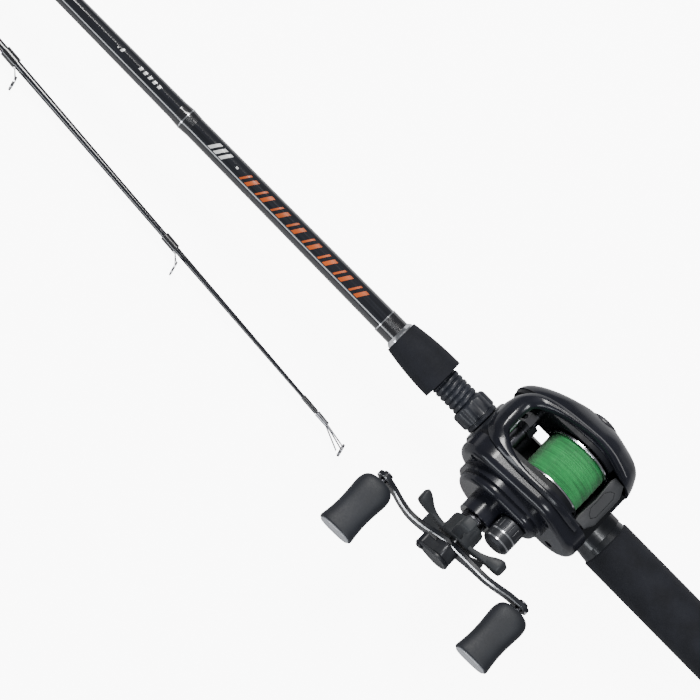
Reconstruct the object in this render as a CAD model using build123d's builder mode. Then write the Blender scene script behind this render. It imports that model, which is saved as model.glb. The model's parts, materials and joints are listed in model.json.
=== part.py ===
"""Two-piece baitcasting rod with a left-hand low-profile reel, in millimetres.

The frame: +X runs along the rod from the butt towards the tip, +Y points to the handle side of the
reel and +Z up, from the rod to the reel. The origin is on the rod's axis in the middle of the rear
grip, where a hand or a rod holder carries it. The upper section of the rod is taken off and lies
beside the butt section, with its tip towards the handle and its guides towards +Y.
"""

from build123d import *
import os
from math import acos, atan2, cos, degrees, pi, radians, sin, sqrt, tan

os.makedirs("parts", exist_ok=True)

# ---- driving dimensions: the rod -------------------------------------------------------------
SECTION_LENGTH = 945.0  # each of the two sections, 1.83 m assembled with a 60 mm joint
BUTT_END = -140.0  # x of the very end of the butt
FERRULE_END = BUTT_END + SECTION_LENGTH
BUTT_BLANK_R = 6.3  # outer radius of the blank inside the handle
FERRULE_R = 3.45  # male end of the butt section
FERRULE_LENGTH = 60.0
BLANK_WALL = 1.3
CHECK_FRONT = 262.0  # front of the winding check, where the bare blank begins
GRIP_R = 13.5
GRIP_FRONT = 121.0
CAP_LENGTH = 10.0
FOREGRIP_REAR, FOREGRIP_FRONT = 231.0, 259.8
LABEL_TOP = 406.0  # the trimmed wrap at the upper end of the label
LABEL_FOOT = 270.5  # the thin trim ring at its lower end
TRIM_WIDTH = 0.6
STRIPPER_X = 630.0
STRIPPER_RING_R = 6.0  # outer radius of the ceramic ring
STRIPPER_HEIGHT = 12.5  # centre of its ring above the blank's surface

# ---- the reel seat ---------------------------------------------------------------------------
SEAT_FRONT = FOREGRIP_REAR
BED_Z = 8.0  # flat that the reel foot lies on
FOOT_REAR, FOOT_FRONT = 126.5, 197.0
FOOT_WIDTH = 11.0
FOOT_THICK = 2.0
THREAD_R = 7.65  # crest of the seat's thread, which is left plain
NUT_REAR, NUT_FRONT = 203.4, 215.0
HOOD_REAR = 189.5

# ---- the reel --------------------------------------------------------------------------------
SPOOL_X, SPOOL_Z = 161.3, 28.5
FLANGE_R = 17.6
FLANGE_Y = 10.6  # inner face of each flange
FLANGE_THICK = 1.1
LINE_R = 16.2
SHAFT_R = 1.25
MODULE = 0.42
GEAR_TEETH, PINION_TEETH = 69, 11
DRIVE_X = 175.2
CENTRE_DISTANCE = MODULE * (GEAR_TEETH + PINION_TEETH) / 2
DRIVE_Z = SPOOL_Z - sqrt(CENTRE_DISTANCE**2 - (DRIVE_X - SPOOL_X) ** 2)
WALL_IN, WALL_OUT = 12.6, 15.0  # the frame's two side walls, as distances from the middle
HOOD_HALF = 19.0  # half the width of the top cover
COVER_Y = 26.4  # outside of the gear cover's low part
RIM_Y = 29.8  # the flat rim round its raised part
BOSS_Y = 34.2  # its raised round over the main gear
HUB_R, HUB_Y = 9.3, 43.0
STAR_Y, STAR_TOP_Y = 46.3, 57.8
STAR_TURN = 11.0  # degrees about the cross axis, its front arms lower
ARM_Y, ARM_THICK = 58.2, 2.8
ARM_BOW, ARM_DIP = 3.5, 1.0  # how far the arm stands out beyond its ends, and the dip in its middle
ARM_SWEEP = 5.0  # how far its halves are swept aside, the front one down
ARM_TURN = 6.6  # degrees about the cross axis, its front end lower
ARM_REACH = 43.2  # drive axis to each knob's axis
NUT_SEAT, NUT_TOP = 62.45, 68.8
KNOB_REAR_Y, KNOB_END_Y = 61.2, 93.5
KNOB_FLAT = 6.0  # half of a knob's thickness across its two flats
SHAFT_END = 65.2  # outer end of the drive shaft, inside the handle nut
CAP_Y, CAP_END_Y, CAP_R = 34.6, 48.4, 7.0
PALM_END_Y = -34.6
RING_Y = (41.6, 42.4, 45.9, 46.7)  # the cap's two bright rings, from y to y
GUIDE_REST_Y = -5.0  # where the line guide stands across the reel
COG_TEETH, WORM_TEETH, WORM_MODULE = 34, 26, 0.45
WORM_REACH = WORM_MODULE * (COG_TEETH + WORM_TEETH) / 2
WORM_Z = 22.2
WORM_X = DRIVE_X + sqrt(WORM_REACH**2 - (WORM_Z - DRIVE_Z) ** 2)
BAR_X, BAR_Z = 193.4, 29.6  # the level wind's plain guide bar
POST_REACH = 5.0  # spool axis to each of the clutch yoke's two posts
# direction of the posts, square to the line between the two shafts
POST_TURN = atan2(DRIVE_Z - SPOOL_Z, DRIVE_X - SPOOL_X) + pi / 2

# ---- the upper section, lying beside the butt section -----------------------------------------
TIP_ANGLE = 4.0  # degrees away from the butt section, seen from above
TIP_X, TIP_Y, TIP_Z = 255.2, 48.2, -31.0  # the very end of its blank
TIP_END_R = 0.85
TIP_BASE_R = 4.9
TIP_BLANK_LENGTH = 928.0
SOCKET_LENGTH = 62.0
TIP_TOP_REACH = 17.0  # from the end of the blank to the tip ring
GUIDE_PLACES = (106.0, 225.0, 362.0, 520.0, 695.0)  # ring centres, from the end of the blank
GUIDE_RINGS = (2.9, 2.9, 3.1, 3.4, 4.0)  # outer radius of each ceramic ring
RING_WALL = 0.75


def write(piece, label):
    """Labels a finished piece and writes it as one STEP file."""
    part = piece.part if isinstance(piece, BuildPart) else piece
    part.label = label
    export_step(part, f"parts/{label}.step")


def side(y):
    """The plane at y that faces -Y: its x is the row's X and its y is the row's Z."""
    return Plane.XZ.offset(-y)


def turned_x(profile):
    """A solid turned about the rod's axis from (x, radius) points."""
    with BuildPart() as turned:
        with BuildSketch(Plane.XZ):
            with BuildLine():
                Polyline(*profile, close=True)
            make_face()
        revolve(axis=Axis.X)
    return turned.part


def turned_y(x, z, profile):
    """A solid turned about the cross axis through (x, z) from (radius, y) points."""
    with BuildPart() as turned:
        with BuildSketch(Plane.XY.offset(z)):
            with BuildLine():
                Polyline(*[(x + r, y) for r, y in profile], close=True)
            make_face()
        revolve(axis=Axis((x, 0, z), (0, 1, 0)))
    return turned.part


def ring_y(x, z, outer, inner, low, high):
    """A plain ring about the cross axis through (x, z), from y low to y high."""
    return turned_y(x, z, [(inner, low), (outer, low), (outer, high), (inner, high)])


def bar(start, end, radius):
    """A round bar between two points."""
    line = Vector(*end) - Vector(*start)
    with BuildPart() as made:
        with BuildSketch(Plane(origin=start, z_dir=line)):
            Circle(radius)
        extrude(amount=line.length)
    return made.part


def blank_r(x):
    """Outer radius of the butt section's blank at x."""
    taper_end = FERRULE_END - FERRULE_LENGTH
    share = min(max((x - CHECK_FRONT) / (taper_end - CHECK_FRONT), 0), 1)
    return BUTT_BLANK_R + share * (FERRULE_R - BUTT_BLANK_R)


def tip_r(s):
    """Outer radius of the upper section's blank, s from its end."""
    share = min(s / TIP_BLANK_LENGTH, 1) ** 0.85
    return TIP_END_R + share * (TIP_BASE_R - TIP_END_R)


def case_outline(grow):
    """The reel's side outline: a hull of three circles, in the XZ plane."""
    for x, z, r in ((186.6, 26.0, 16.8), (160.0, 30.0, 18.0), (146.5, 25.0, 14.8)):
        with Locations((x, z)):
            Circle(r + grow)
    make_hull()


def gear_teeth(teeth, module, bore, thin=0.10):
    """A spur gear's outline with involute flanks, thinned by a share of the tooth for backlash."""
    pitch_r = module * teeth / 2
    base_r = pitch_r * cos(radians(20))
    root_r, tip_radius = pitch_r - 1.2 * module, pitch_r + 0.85 * module
    involute_at_pitch = tan(radians(20)) - radians(20)
    half_tooth = pi / (2 * teeth) * (1 - thin)
    flank = []
    for step in range(4):
        r = max(base_r, root_r) + (tip_radius - max(base_r, root_r)) * step / 3
        pressure = acos(min(base_r / r, 1))
        flank.append((r, half_tooth + involute_at_pitch - (tan(pressure) - pressure)))
    corners = []
    for tooth in range(teeth):
        middle = 2 * pi * tooth / teeth
        rising = [(root_r, flank[0][1])] + flank if root_r < base_r else flank
        corners += [(r, middle - a) for r, a in rising]
        corners += [(r, middle + a) for r, a in reversed(rising)]
    with BuildLine() as outline:
        Polyline(*[(r * cos(a), r * sin(a)) for r, a in corners], close=True)
    make_face(outline.edges())
    Circle(bore, mode=Mode.SUBTRACT)


def gear_y(x, z, teeth, module, bore, low, high, turn=0.0):
    """A spur gear about the cross axis through (x, z), its first tooth turned by degrees from +X."""
    plane = Plane(origin=(x, high, z), x_dir=(cos(radians(turn)), 0, sin(radians(turn))), z_dir=(0, -1, 0))
    with BuildPart() as gear:
        with BuildSketch(plane):
            gear_teeth(teeth, module, bore)
        extrude(amount=high - low)
    return gear.part


# ================================ the butt section ============================================
def make_butt_section():
    """The blank, the grips and what is bound on it."""
    taper_end = FERRULE_END - FERRULE_LENGTH
    outer = [(BUTT_END + 4, BUTT_BLANK_R), (CHECK_FRONT, BUTT_BLANK_R), (taper_end, FERRULE_R),
             (FERRULE_END, FERRULE_R)]
    inner = [(x, r - BLANK_WALL) for x, r in reversed(outer)]
    write(turned_x(outer + inner), "butt_blank")

    with BuildPart() as butt_cap:
        with BuildSketch(Plane.YZ.offset(BUTT_END)):
            Circle(GRIP_R)
        extrude(amount=CAP_LENGTH)
        fillet(butt_cap.faces().sort_by(Axis.X)[0].edges(), 3.2)
        with BuildSketch(Plane.YZ.offset(BUTT_END + 4)):
            Circle(BUTT_BLANK_R)
        extrude(amount=CAP_LENGTH, mode=Mode.SUBTRACT)
        with BuildSketch(Plane.YZ.offset(BUTT_END)):
            Circle(5.0)
        extrude(amount=1.2, mode=Mode.SUBTRACT)
    write(butt_cap, "butt_cap")

    start = BUTT_END + CAP_LENGTH
    grip = [(start, BUTT_BLANK_R), (start, GRIP_R), (GRIP_FRONT - 0.6, GRIP_R),
            (GRIP_FRONT, GRIP_R - 0.6), (GRIP_FRONT, BUTT_BLANK_R)]
    write(turned_x(grip), "rear_grip")

    with BuildPart() as foregrip:
        with BuildSketch(Plane.XZ):
            with BuildLine():
                ThreePointArc((FOREGRIP_REAR, 11.3), (245.5, 10.7), (FOREGRIP_FRONT, 8.85))
                Polyline((FOREGRIP_FRONT, 8.85), (FOREGRIP_FRONT, BUTT_BLANK_R),
                         (FOREGRIP_REAR, BUTT_BLANK_R), (FOREGRIP_REAR, 11.3))
            make_face()
        revolve(axis=Axis.X)
    write(foregrip, "foregrip")

    check = [(FOREGRIP_FRONT, BUTT_BLANK_R), (FOREGRIP_FRONT, 7.9), (260.6, 7.9),
             (CHECK_FRONT, 6.75), (CHECK_FRONT, BUTT_BLANK_R)]
    write(turned_x(check), "winding_check")

    # bound and lacquered thread: at the check, at the top of the label, at the guide, at the joint
    foot = STRIPPER_X - 24
    wraps = [
        sleeve(CHECK_FRONT, LABEL_FOOT, 0.3, 0.3),
        sleeve(LABEL_TOP - 5.4, LABEL_TOP - TRIM_WIDTH / 2, 0.05, 0.42),
        sleeve(LABEL_TOP + TRIM_WIDTH / 2, LABEL_TOP + 5.2, 0.42, 0.05),
        sleeve(foot, foot + 17, 1.15, 1.15),
        sleeve(STRIPPER_X + 7, STRIPPER_X + 24, 1.15, 1.15),
        sleeve(taper_end - 24, taper_end - 4, 0.35, 0.35),
    ]
    frame = stripper_frame()
    write(Compound(children=[w - frame for w in wraps[3:5]] + wraps[:3] + wraps[5:]), "butt_wraps")
    rings = [sleeve(LABEL_FOOT, LABEL_FOOT + TRIM_WIDTH, 0.36, 0.36),
             sleeve(LABEL_TOP - TRIM_WIDTH / 2, LABEL_TOP + TRIM_WIDTH / 2, 0.5, 0.5)]
    write(Compound(children=rings), "trim_rings")
    write(frame, "stripper_frame")
    write(guide_ring(stripper_plane(), STRIPPER_RING_R, 1.1, 1.4), "stripper_ring")


def sleeve(low, high, rise_low, rise_high):
    """A thin sleeve on the butt section's blank from x low to x high."""
    return turned_x([(low, blank_r(low)), (low, blank_r(low) + rise_low),
                     (high, blank_r(high) + rise_high), (high, blank_r(high))])


def guide_ring(plane, outer, wall, thick):
    """A ceramic ring lying in a plane, centred on its origin."""
    with BuildPart() as ring:
        with BuildSketch(plane.offset(-thick / 2)):
            Circle(outer)
            Circle(outer - wall, mode=Mode.SUBTRACT)
        extrude(amount=thick)
    return ring.part


def stripper_plane():
    """The plane of the first guide's ring: its z is along the rod, leaning a little forward."""
    lean = radians(6)
    origin = (STRIPPER_X, 0, blank_r(STRIPPER_X) + STRIPPER_HEIGHT)
    return Plane(origin=origin, x_dir=(0, 1, 0), z_dir=(cos(lean), 0, -sin(lean)))


def guide_frame(plane, ring_r, thick, feet, foot_z, foot_width, foot_thick):
    """A ring holder in a plane with two legs to each foot; a foot is (near s, far s)."""
    with BuildPart() as frame:
        with BuildSketch(plane.offset(-thick / 2)):
            Circle(ring_r + 0.9)
            Circle(ring_r, mode=Mode.SUBTRACT)
        extrude(amount=thick)
    made = frame.part
    hub = ring_r + 0.45
    for near, far in feet:
        for turn in (-1, 1):
            across, down = hub * sin(radians(48)), hub * cos(radians(48))
            grip = plane.origin + plane.x_dir * (turn * across)
            grip = grip - plane.y_dir * down if plane.y_dir.Z > 0 else grip + plane.y_dir * down
            knee = (near, turn * 0.3 * foot_width, foot_z + foot_thick / 2)
            made += bar((grip.X, grip.Y, grip.Z), knee, foot_thick * 0.5)
        low, high = min(near, far), max(near, far)
        centre = ((low + high) / 2, 0, foot_z + foot_thick / 2)
        made += Location(centre) * Box(high - low, foot_width, foot_thick)
    return made


def stripper_frame():
    """The first guide's two-footed frame."""
    foot_z = blank_r(STRIPPER_X - 24) + 0.04
    feet = ((STRIPPER_X - 6, STRIPPER_X - 21), (STRIPPER_X + 6, STRIPPER_X + 21))
    frame = guide_frame(stripper_plane(), STRIPPER_RING_R + 0.02, 1.3, feet, foot_z, 2.4, 0.8)
    return frame


# ================================ the reel seat ================================================
def make_seat():
    """The seat with its trigger and fixed hood, the arbors under it, the sliding hood and nut."""
    with BuildPart() as reel_seat:
        with BuildSketch(Plane.XZ):
            with BuildLine():
                Polyline((GRIP_FRONT, 7.0), (GRIP_FRONT, 12.7), (128.0, 11.9), (201.2, 11.9),
                         (201.2, THREAD_R), (FOREGRIP_REAR, THREAD_R), (FOREGRIP_REAR, 6.3),
                         (200.4, 6.3), (200.4, 7.0), close=True)
            make_face()
        revolve(axis=Axis.X)
        with BuildSketch(Plane.XY.offset(BED_Z)):
            with Locations(((FOOT_REAR + 201.3) / 2, 0)):
                Rectangle(201.3 - FOOT_REAR, 30)
        extrude(amount=10, mode=Mode.SUBTRACT)
        # the fixed hood that takes the rear end of the reel's foot
        with BuildSketch(Plane.YZ.offset(FOOT_REAR - 2)):
            Circle(13.4)
            with Locations((0, -8)):
                Rectangle(40, 31.8, mode=Mode.SUBTRACT)
        extrude(amount=12.5)
        with BuildSketch(Plane.YZ.offset(FOOT_REAR)):
            with Locations((0, BED_Z + 1.1)):
                Rectangle(FOOT_WIDTH + 0.3, FOOT_THICK + 0.25)
        extrude(amount=12, mode=Mode.SUBTRACT)
        # the trigger
        with BuildSketch(Plane.XZ.offset(-4)):
            with BuildLine():
                Spline((163.5, -10.5), (157.0, -18.0), (153.2, -27.5), (152.6, -33.8),
                       tangents=[(-1, -0.6), (0.1, -1)])
                Line((152.6, -33.8), (148.4, -34.2))
                Spline((148.4, -34.2), (146.8, -25.0), (143.0, -16.5), (136.5, -10.5),
                       tangents=[(0, 1), (-1, 0.5)])
                Line((136.5, -10.5), (163.5, -10.5))
            make_face()
        extrude(amount=8)
    write(reel_seat, "reel_seat")

    arbors = [turned_x([(a, 6.3), (a, 7.0), (b, 7.0), (b, 6.3)])
              for a, b in ((125, 139), (156, 170), (186, 200))]
    write(Compound(children=arbors), "seat_arbors")

    with BuildPart() as sliding_hood:
        with BuildSketch(Plane.XZ):
            with BuildLine():
                Polyline((HOOD_REAR, 12.1), (HOOD_REAR, 12.9), (202.2, 12.9), (NUT_REAR - 0.2, 11.9),
                         (NUT_REAR - 0.2, THREAD_R + 0.1), (201.4, THREAD_R + 0.1), (201.4, 12.1),
                         close=True)
            make_face()
        revolve(axis=Axis.X)
    write(sliding_hood, "sliding_hood")

    with BuildPart() as lock_nut:
        with BuildSketch(Plane.YZ.offset(NUT_REAR)):
            RegularPolygon(9.9, 12)
        extrude(amount=NUT_FRONT - NUT_REAR)
        with BuildSketch(Plane.XZ):
            with BuildLine():
                Polyline((NUT_REAR - 1, 8.0), (NUT_REAR - 1, 12), (NUT_REAR + 1.2, 12),
                         (NUT_REAR, 8.9), (NUT_REAR, 8.0), close=True)
            make_face()
        revolve(axis=Axis.X, mode=Mode.SUBTRACT)
        with BuildSketch(Plane.XZ):
            with BuildLine():
                Polyline((NUT_FRONT, 8.7), (NUT_FRONT - 1.6, 12), (NUT_FRONT + 1, 12),
                         (NUT_FRONT + 1, 8.7), close=True)
            make_face()
        revolve(axis=Axis.X, mode=Mode.SUBTRACT)
        with BuildSketch(Plane.YZ.offset(NUT_REAR)):
            Circle(THREAD_R + 0.08)
        extrude(amount=NUT_FRONT - NUT_REAR, mode=Mode.SUBTRACT)
    write(lock_nut, "lock_nut")


# ================================ the reel's housing ============================================
def plate(outline, low, high):
    """A solid of an outline from y low to y high; the outline is a function that draws it."""
    with BuildPart() as made:
        with BuildSketch(side(high)):
            outline()
        extrude(amount=high - low)
    return made.part


def disc(x, z, r, low, high):
    """A plain disc about the cross axis through (x, z)."""
    return plate(lambda: circle_at(x, z, r), low, high)


def circle_at(x, z, r):
    """A circle drawn at (x, z) in the current sketch."""
    with Locations((x, z)):
        Circle(r)


def block(x, y, z):
    """A box given by its (low, high) pairs along each axis."""
    centre = ((x[0] + x[1]) / 2, (y[0] + y[1]) / 2, (z[0] + z[1]) / 2)
    return Location(centre) * Box(x[1] - x[0], y[1] - y[0], z[1] - z[0])


def boss_outline(main, small):
    """Hull of the round over the main gear and the one about the spool's axis."""
    circle_at(DRIVE_X, DRIVE_Z, main)
    circle_at(SPOOL_X, SPOOL_Z, small)
    make_hull()


def post_places():
    """The clutch yoke's two posts, as (x, z)."""
    step_x, step_z = POST_REACH * cos(POST_TURN), POST_REACH * sin(POST_TURN)
    return ((SPOOL_X + step_x, SPOOL_Z + step_z), (SPOOL_X - step_x, SPOOL_Z - step_z))


def make_frame():
    """The frame: foot, floor, two side walls and the pillars between them."""
    frame = plate(lambda: case_outline(0), -WALL_OUT, WALL_OUT)
    inside = (-WALL_IN, WALL_IN)
    frame -= disc(SPOOL_X, SPOOL_Z, FLANGE_R + 0.6, *inside)
    frame -= block((147, 183), inside, (13.2, 60))
    frame -= block((130, 147.1), (-WALL_OUT - 1, WALL_OUT + 1), (25.8, 60))
    frame -= block((182.9, 215), inside, (16.0, 60))
    frame -= block((188.6, 215), (-13.7, 13.7), (0, 13.3))
    foot_middle = (FOOT_REAR + FOOT_FRONT) / 2
    foot = Location((foot_middle, 0, BED_Z + FOOT_THICK / 2))
    frame += foot * Box(FOOT_FRONT - FOOT_REAR, FOOT_WIDTH, FOOT_THICK)
    frame += block((141, 188.4), (-FOOT_WIDTH / 2, FOOT_WIDTH / 2), (BED_Z, 11.0))
    frame -= block((176.4, 184.6), (7.0, 12.3), (5, 20))
    frame -= block((176.4, 184.6), (-16.0, -7.0), (5, 17))
    # the palm side is open for the spool to come out, the gear side carries a bearing
    frame -= disc(SPOOL_X, SPOOL_Z, FLANGE_R + 0.6, -WALL_OUT - 1, -WALL_IN + 1)
    frame -= disc(SPOOL_X, SPOOL_Z, 4.05, WALL_IN - 1, WALL_OUT + 1)
    frame -= disc(DRIVE_X, DRIVE_Z, 2.04, WALL_IN - 1, WALL_OUT + 1)
    frame -= disc(WORM_X, WORM_Z, 1.55, -WALL_OUT - 1, WALL_OUT + 1)
    frame -= disc(BAR_X, BAR_Z, 1.1, -WALL_OUT - 1, WALL_OUT + 1)
    write(frame, "reel_frame")

    hood = plate(lambda: case_outline(2.4), -HOOD_HALF, HOOD_HALF)
    hood -= plate(lambda: case_outline(0.75), -HOOD_HALF - 1, HOOD_HALF + 1)
    hood -= block((146, 194), (-30, 30), (0, 37.0))
    hood -= block((120, 146.1), (-30, 30), (0, 41.0))
    hood -= block((187, 215), (-30, 30), (0, 33.0))
    with BuildPart() as window:
        with BuildSketch(Plane.XY.offset(30)):
            Polygon((130, 14.9), (148, 15.6), (166, 16.6), (181, 14.6), (195.4, 7.6), (195.4, -7.6),
                    (181, -14.6), (166, -16.6), (148, -15.6), (130, -14.9), align=None)
        extrude(amount=30)
    hood -= window.part
    rim = plate(lambda: case_outline(2.4), -HOOD_HALF, HOOD_HALF)
    rim &= block((190, 215), (-HOOD_HALF, HOOD_HALF), (30.0, 33.1))
    hood += rim - plate(lambda: case_outline(0.75), -HOOD_HALF - 1, HOOD_HALF + 1)
    write(hood, "top_cover")


def make_side_plates():
    """The gear cover on the handle side and the removable palm plate."""
    with BuildPart() as base:
        with BuildSketch(side(COVER_Y)):
            case_outline(0.4)
        extrude(amount=COVER_Y - WALL_OUT - 0.05)
        fillet(base.faces().sort_by(Axis.Y)[-1].edges(), 4.0)
    cover = base.part
    cover += plate(lambda: boss_outline(21.6, 12.6), COVER_Y - 3.2, RIM_Y)
    boss = plate(lambda: boss_outline(19.2, 10.6), COVER_Y, BOSS_Y)
    cover += fillet(boss.faces().sort_by(Axis.Y)[-1].edges(), 2.6)
    cover += disc(DRIVE_X, DRIVE_Z, HUB_R, BOSS_Y - 1, HUB_Y)
    cover += disc(SPOOL_X, SPOOL_Z, 5.0, BOSS_Y - 1, 44.6)
    cover -= plate(lambda: case_outline(-1.6), WALL_OUT - 1, 21.5)
    cover -= plate(lambda: boss_outline(15.6, 7.0), WALL_OUT + 3, 31.5)
    cover -= disc(DRIVE_X, DRIVE_Z, 6.5, 31.0, 38.0)
    cover -= disc(DRIVE_X, DRIVE_Z, 3.85, 37.0, HUB_Y + 1)
    cover -= disc(SPOOL_X, SPOOL_Z, 3.0, 31.0, 35.0)
    cover -= disc(SPOOL_X, SPOOL_Z, 4.0, 34.8, 45.0)
    closing = plate(lambda: boss_outline(16.0, 7.4), COVER_Y - 3.2, COVER_Y - 2.3)
    cover += closing - plate(lambda: case_outline(-0.5), WALL_OUT, BOSS_Y)
    for x, z in cover_screws():
        cover -= disc(x, z, 1.1, WALL_OUT, COVER_Y + 1)
        cover -= disc(x, z, 2.05, COVER_Y - 2.2, COVER_Y + 1)
    write(cover, "gear_cover")
    screws = [disc(x, z, 1.1, WALL_OUT + 1.4, COVER_Y - 1.5) + screw_head(x, z) for x, z in cover_screws()]
    write(Compound(children=screws), "cover_screws")

    with BuildPart() as shell:
        with BuildSketch(Plane.XZ.offset(WALL_OUT + 0.05)):
            case_outline(0.6)
        extrude(amount=-PALM_END_Y - WALL_OUT - 0.05, taper=16)
        fillet(shell.faces().sort_by(Axis.Y)[0].edges(), 5.0)
    palm = shell.part
    with BuildPart() as hollow:
        with BuildSketch(Plane.XZ.offset(WALL_OUT)):
            case_outline(-1.4)
        extrude(amount=-PALM_END_Y - WALL_OUT - 2.2, taper=16)
    palm -= hollow.part
    palm += disc(SPOOL_X, SPOOL_Z, 5.6, -33.5, -17.6)
    palm -= disc(SPOOL_X, SPOOL_Z, 4.0, -21.6, -17.0)
    palm -= disc(SPOOL_X, SPOOL_Z, 2.6, -30.0, -21.0)
    palm -= disc(DIAL_X, DIAL_Z, 7.3, -40, -33.2)
    palm -= disc(DIAL_X, DIAL_Z, 2.05, -40, -29.0)
    write(palm, "palm_plate")
    dial = disc(DIAL_X, DIAL_Z, 7.1, -35.6, -33.4) + disc(DIAL_X, DIAL_Z, 2.0, -33.6, -30.4)
    dial += block((DIAL_X - 6.4, DIAL_X + 6.4), (-36.6, -35.5), (DIAL_Z - 0.9, DIAL_Z + 0.9))
    write(dial, "brake_dial")
    magnets = [disc(SPOOL_X + 7.6 * cos(radians(a)), SPOOL_Z + 7.6 * sin(radians(a)), 1.6, -20.4, -17.8)
               for a in range(30, 390, 60)]
    ring = ring_y(SPOOL_X, SPOOL_Z, 10.2, 5.6, -22.2, -20.4)
    write(Compound(children=[ring + magnets]), "brake_magnets")
    write(ring_y(SPOOL_X, SPOOL_Z, 3.95, SHAFT_R + 0.05, -21.5, -18.6), "palm_bearing")
    write(ring_y(SPOOL_X, SPOOL_Z, 4.0, SHAFT_R + 0.05, 12.8, 15.3), "frame_bearing")


DIAL_X, DIAL_Z = 163.0, 28.0


def cover_screws():
    """The places of the gear cover's three screws, as (x, z)."""
    return ((142.6, 20.5), (152.0, 39.6), (196.4, 33.0))


def screw_head(x, z):
    """A small countersunk head with a cross slot."""
    head = disc(x, z, 2.0, COVER_Y - 2.15, COVER_Y - 1.0)
    head -= block((x - 1.3, x + 1.3), (COVER_Y - 1.5, COVER_Y), (z - 0.2, z + 0.2))
    head -= block((x - 0.2, x + 0.2), (COVER_Y - 1.5, COVER_Y), (z - 1.3, z + 1.3))
    return head


# ================================ the spool and the drive =======================================
def make_spool():
    """The spool, the line wound on it and its shaft."""
    top = FLANGE_Y + FLANGE_THICK
    drum = [(7.6, -top - 2.6), (9.0, -top - 2.6), (9.0, -top), (FLANGE_R - 0.8, -top),
            (FLANGE_R, -top + 0.4), (FLANGE_R, -FLANGE_Y), (9.0, -FLANGE_Y), (9.0, FLANGE_Y),
            (FLANGE_R, FLANGE_Y), (FLANGE_R, top - 0.4), (FLANGE_R - 0.8, top), (7.6, top),
            (7.6, 2.2), (SHAFT_R, 2.2), (SHAFT_R, -2.2), (7.6, -2.2)]
    write(turned_y(SPOOL_X, SPOOL_Z, drum), "spool")
    line = [(9.0, -FLANGE_Y), (LINE_R - 0.5, -FLANGE_Y), (LINE_R, -FLANGE_Y + 1.2),
            (LINE_R, FLANGE_Y - 1.2), (LINE_R - 0.5, FLANGE_Y), (9.0, FLANGE_Y)]
    write(turned_y(SPOOL_X, SPOOL_Z, line), "spool_line")
    shaft = disc(SPOOL_X, SPOOL_Z, SHAFT_R, -24.0, 44.9)
    pin = Plane(origin=(SPOOL_X, 16.3, SPOOL_Z), z_dir=(0, 0, 1)).location * Cylinder(0.4, 5.0)
    write(shaft + pin, "spool_shaft")


def make_clutch():
    """The pinion, the yoke that slides it, its posts and springs, and the thumb bar."""
    collar = turned_y(SPOOL_X, SPOOL_Z, [(SHAFT_R + 0.06, 15.6), (3.0, 15.6), (3.0, 17.5), (1.95, 17.5),
                                         (1.95, 19.1), (2.2, 19.1), (2.2, 19.6), (SHAFT_R + 0.06, 19.6)])
    mesh = degrees(atan2(DRIVE_Z - SPOOL_Z, DRIVE_X - SPOOL_X))
    pinion = collar + gear_y(SPOOL_X, SPOOL_Z, PINION_TEETH, MODULE, SHAFT_R + 0.06, 19.5, 28.2, mesh)
    pinion -= block((SPOOL_X - 0.46, SPOOL_X + 0.46), (15.0, 16.8), (SPOOL_Z - 4, SPOOL_Z + 4))
    write(pinion, "pinion")

    def fork():
        with Locations(Location((SPOOL_X, SPOOL_Z), degrees(POST_TURN))):
            SlotOverall(15.0, 5.6)
            Circle(2.04, mode=Mode.SUBTRACT)
            for way in (-1, 1):
                with Locations((way * POST_REACH, 0)):
                    Circle(0.86, mode=Mode.SUBTRACT)

    write(plate(fork, 17.7, 18.9), "clutch_yoke")
    write(Compound(children=[disc(x, z, 0.8, 15.05, 30.6) for x, z in post_places()]), "yoke_posts")
    coils = []
    for x, z in post_places():
        coil = Helix(pitch=1.7, height=10.2, radius=1.2, center=(x, 19.25, z), direction=(0, 1, 0))
        with BuildPart() as spring:
            with BuildSketch(Plane(origin=coil @ 0, z_dir=coil % 0)):
                Circle(0.2)
            sweep(path=coil, is_frenet=True)
        coils.append(spring.part)
    write(Compound(children=coils), "yoke_springs")

    half = 14.4
    with BuildPart() as thumb_bar:
        with BuildSketch(Plane.XZ.offset(-half)):
            with BuildLine():
                Polyline((135.4, 33.0), (142.4, 32.2), (143.2, 34.4), (143.9, 38.6), (141.0, 39.4),
                         (136.4, 37.6), (134.8, 35.2), close=True)
            make_face()
        extrude(amount=2 * half)
        fillet(thumb_bar.edges().filter_by(Axis.Y), 0.4)
    bar_solid = thumb_bar.part
    bar_solid += block((138.6, 142.2), (half - 1.0, 15.5), (32.6, 34.6))
    write(bar_solid, "thumb_bar")
    cam = block((138.6, 153.0), (15.5, 16.4), (31.0, 34.6)) + block((149.0, 153.0), (15.5, 16.4), (22.0, 32.0))
    write(cam, "clutch_cam")


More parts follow.
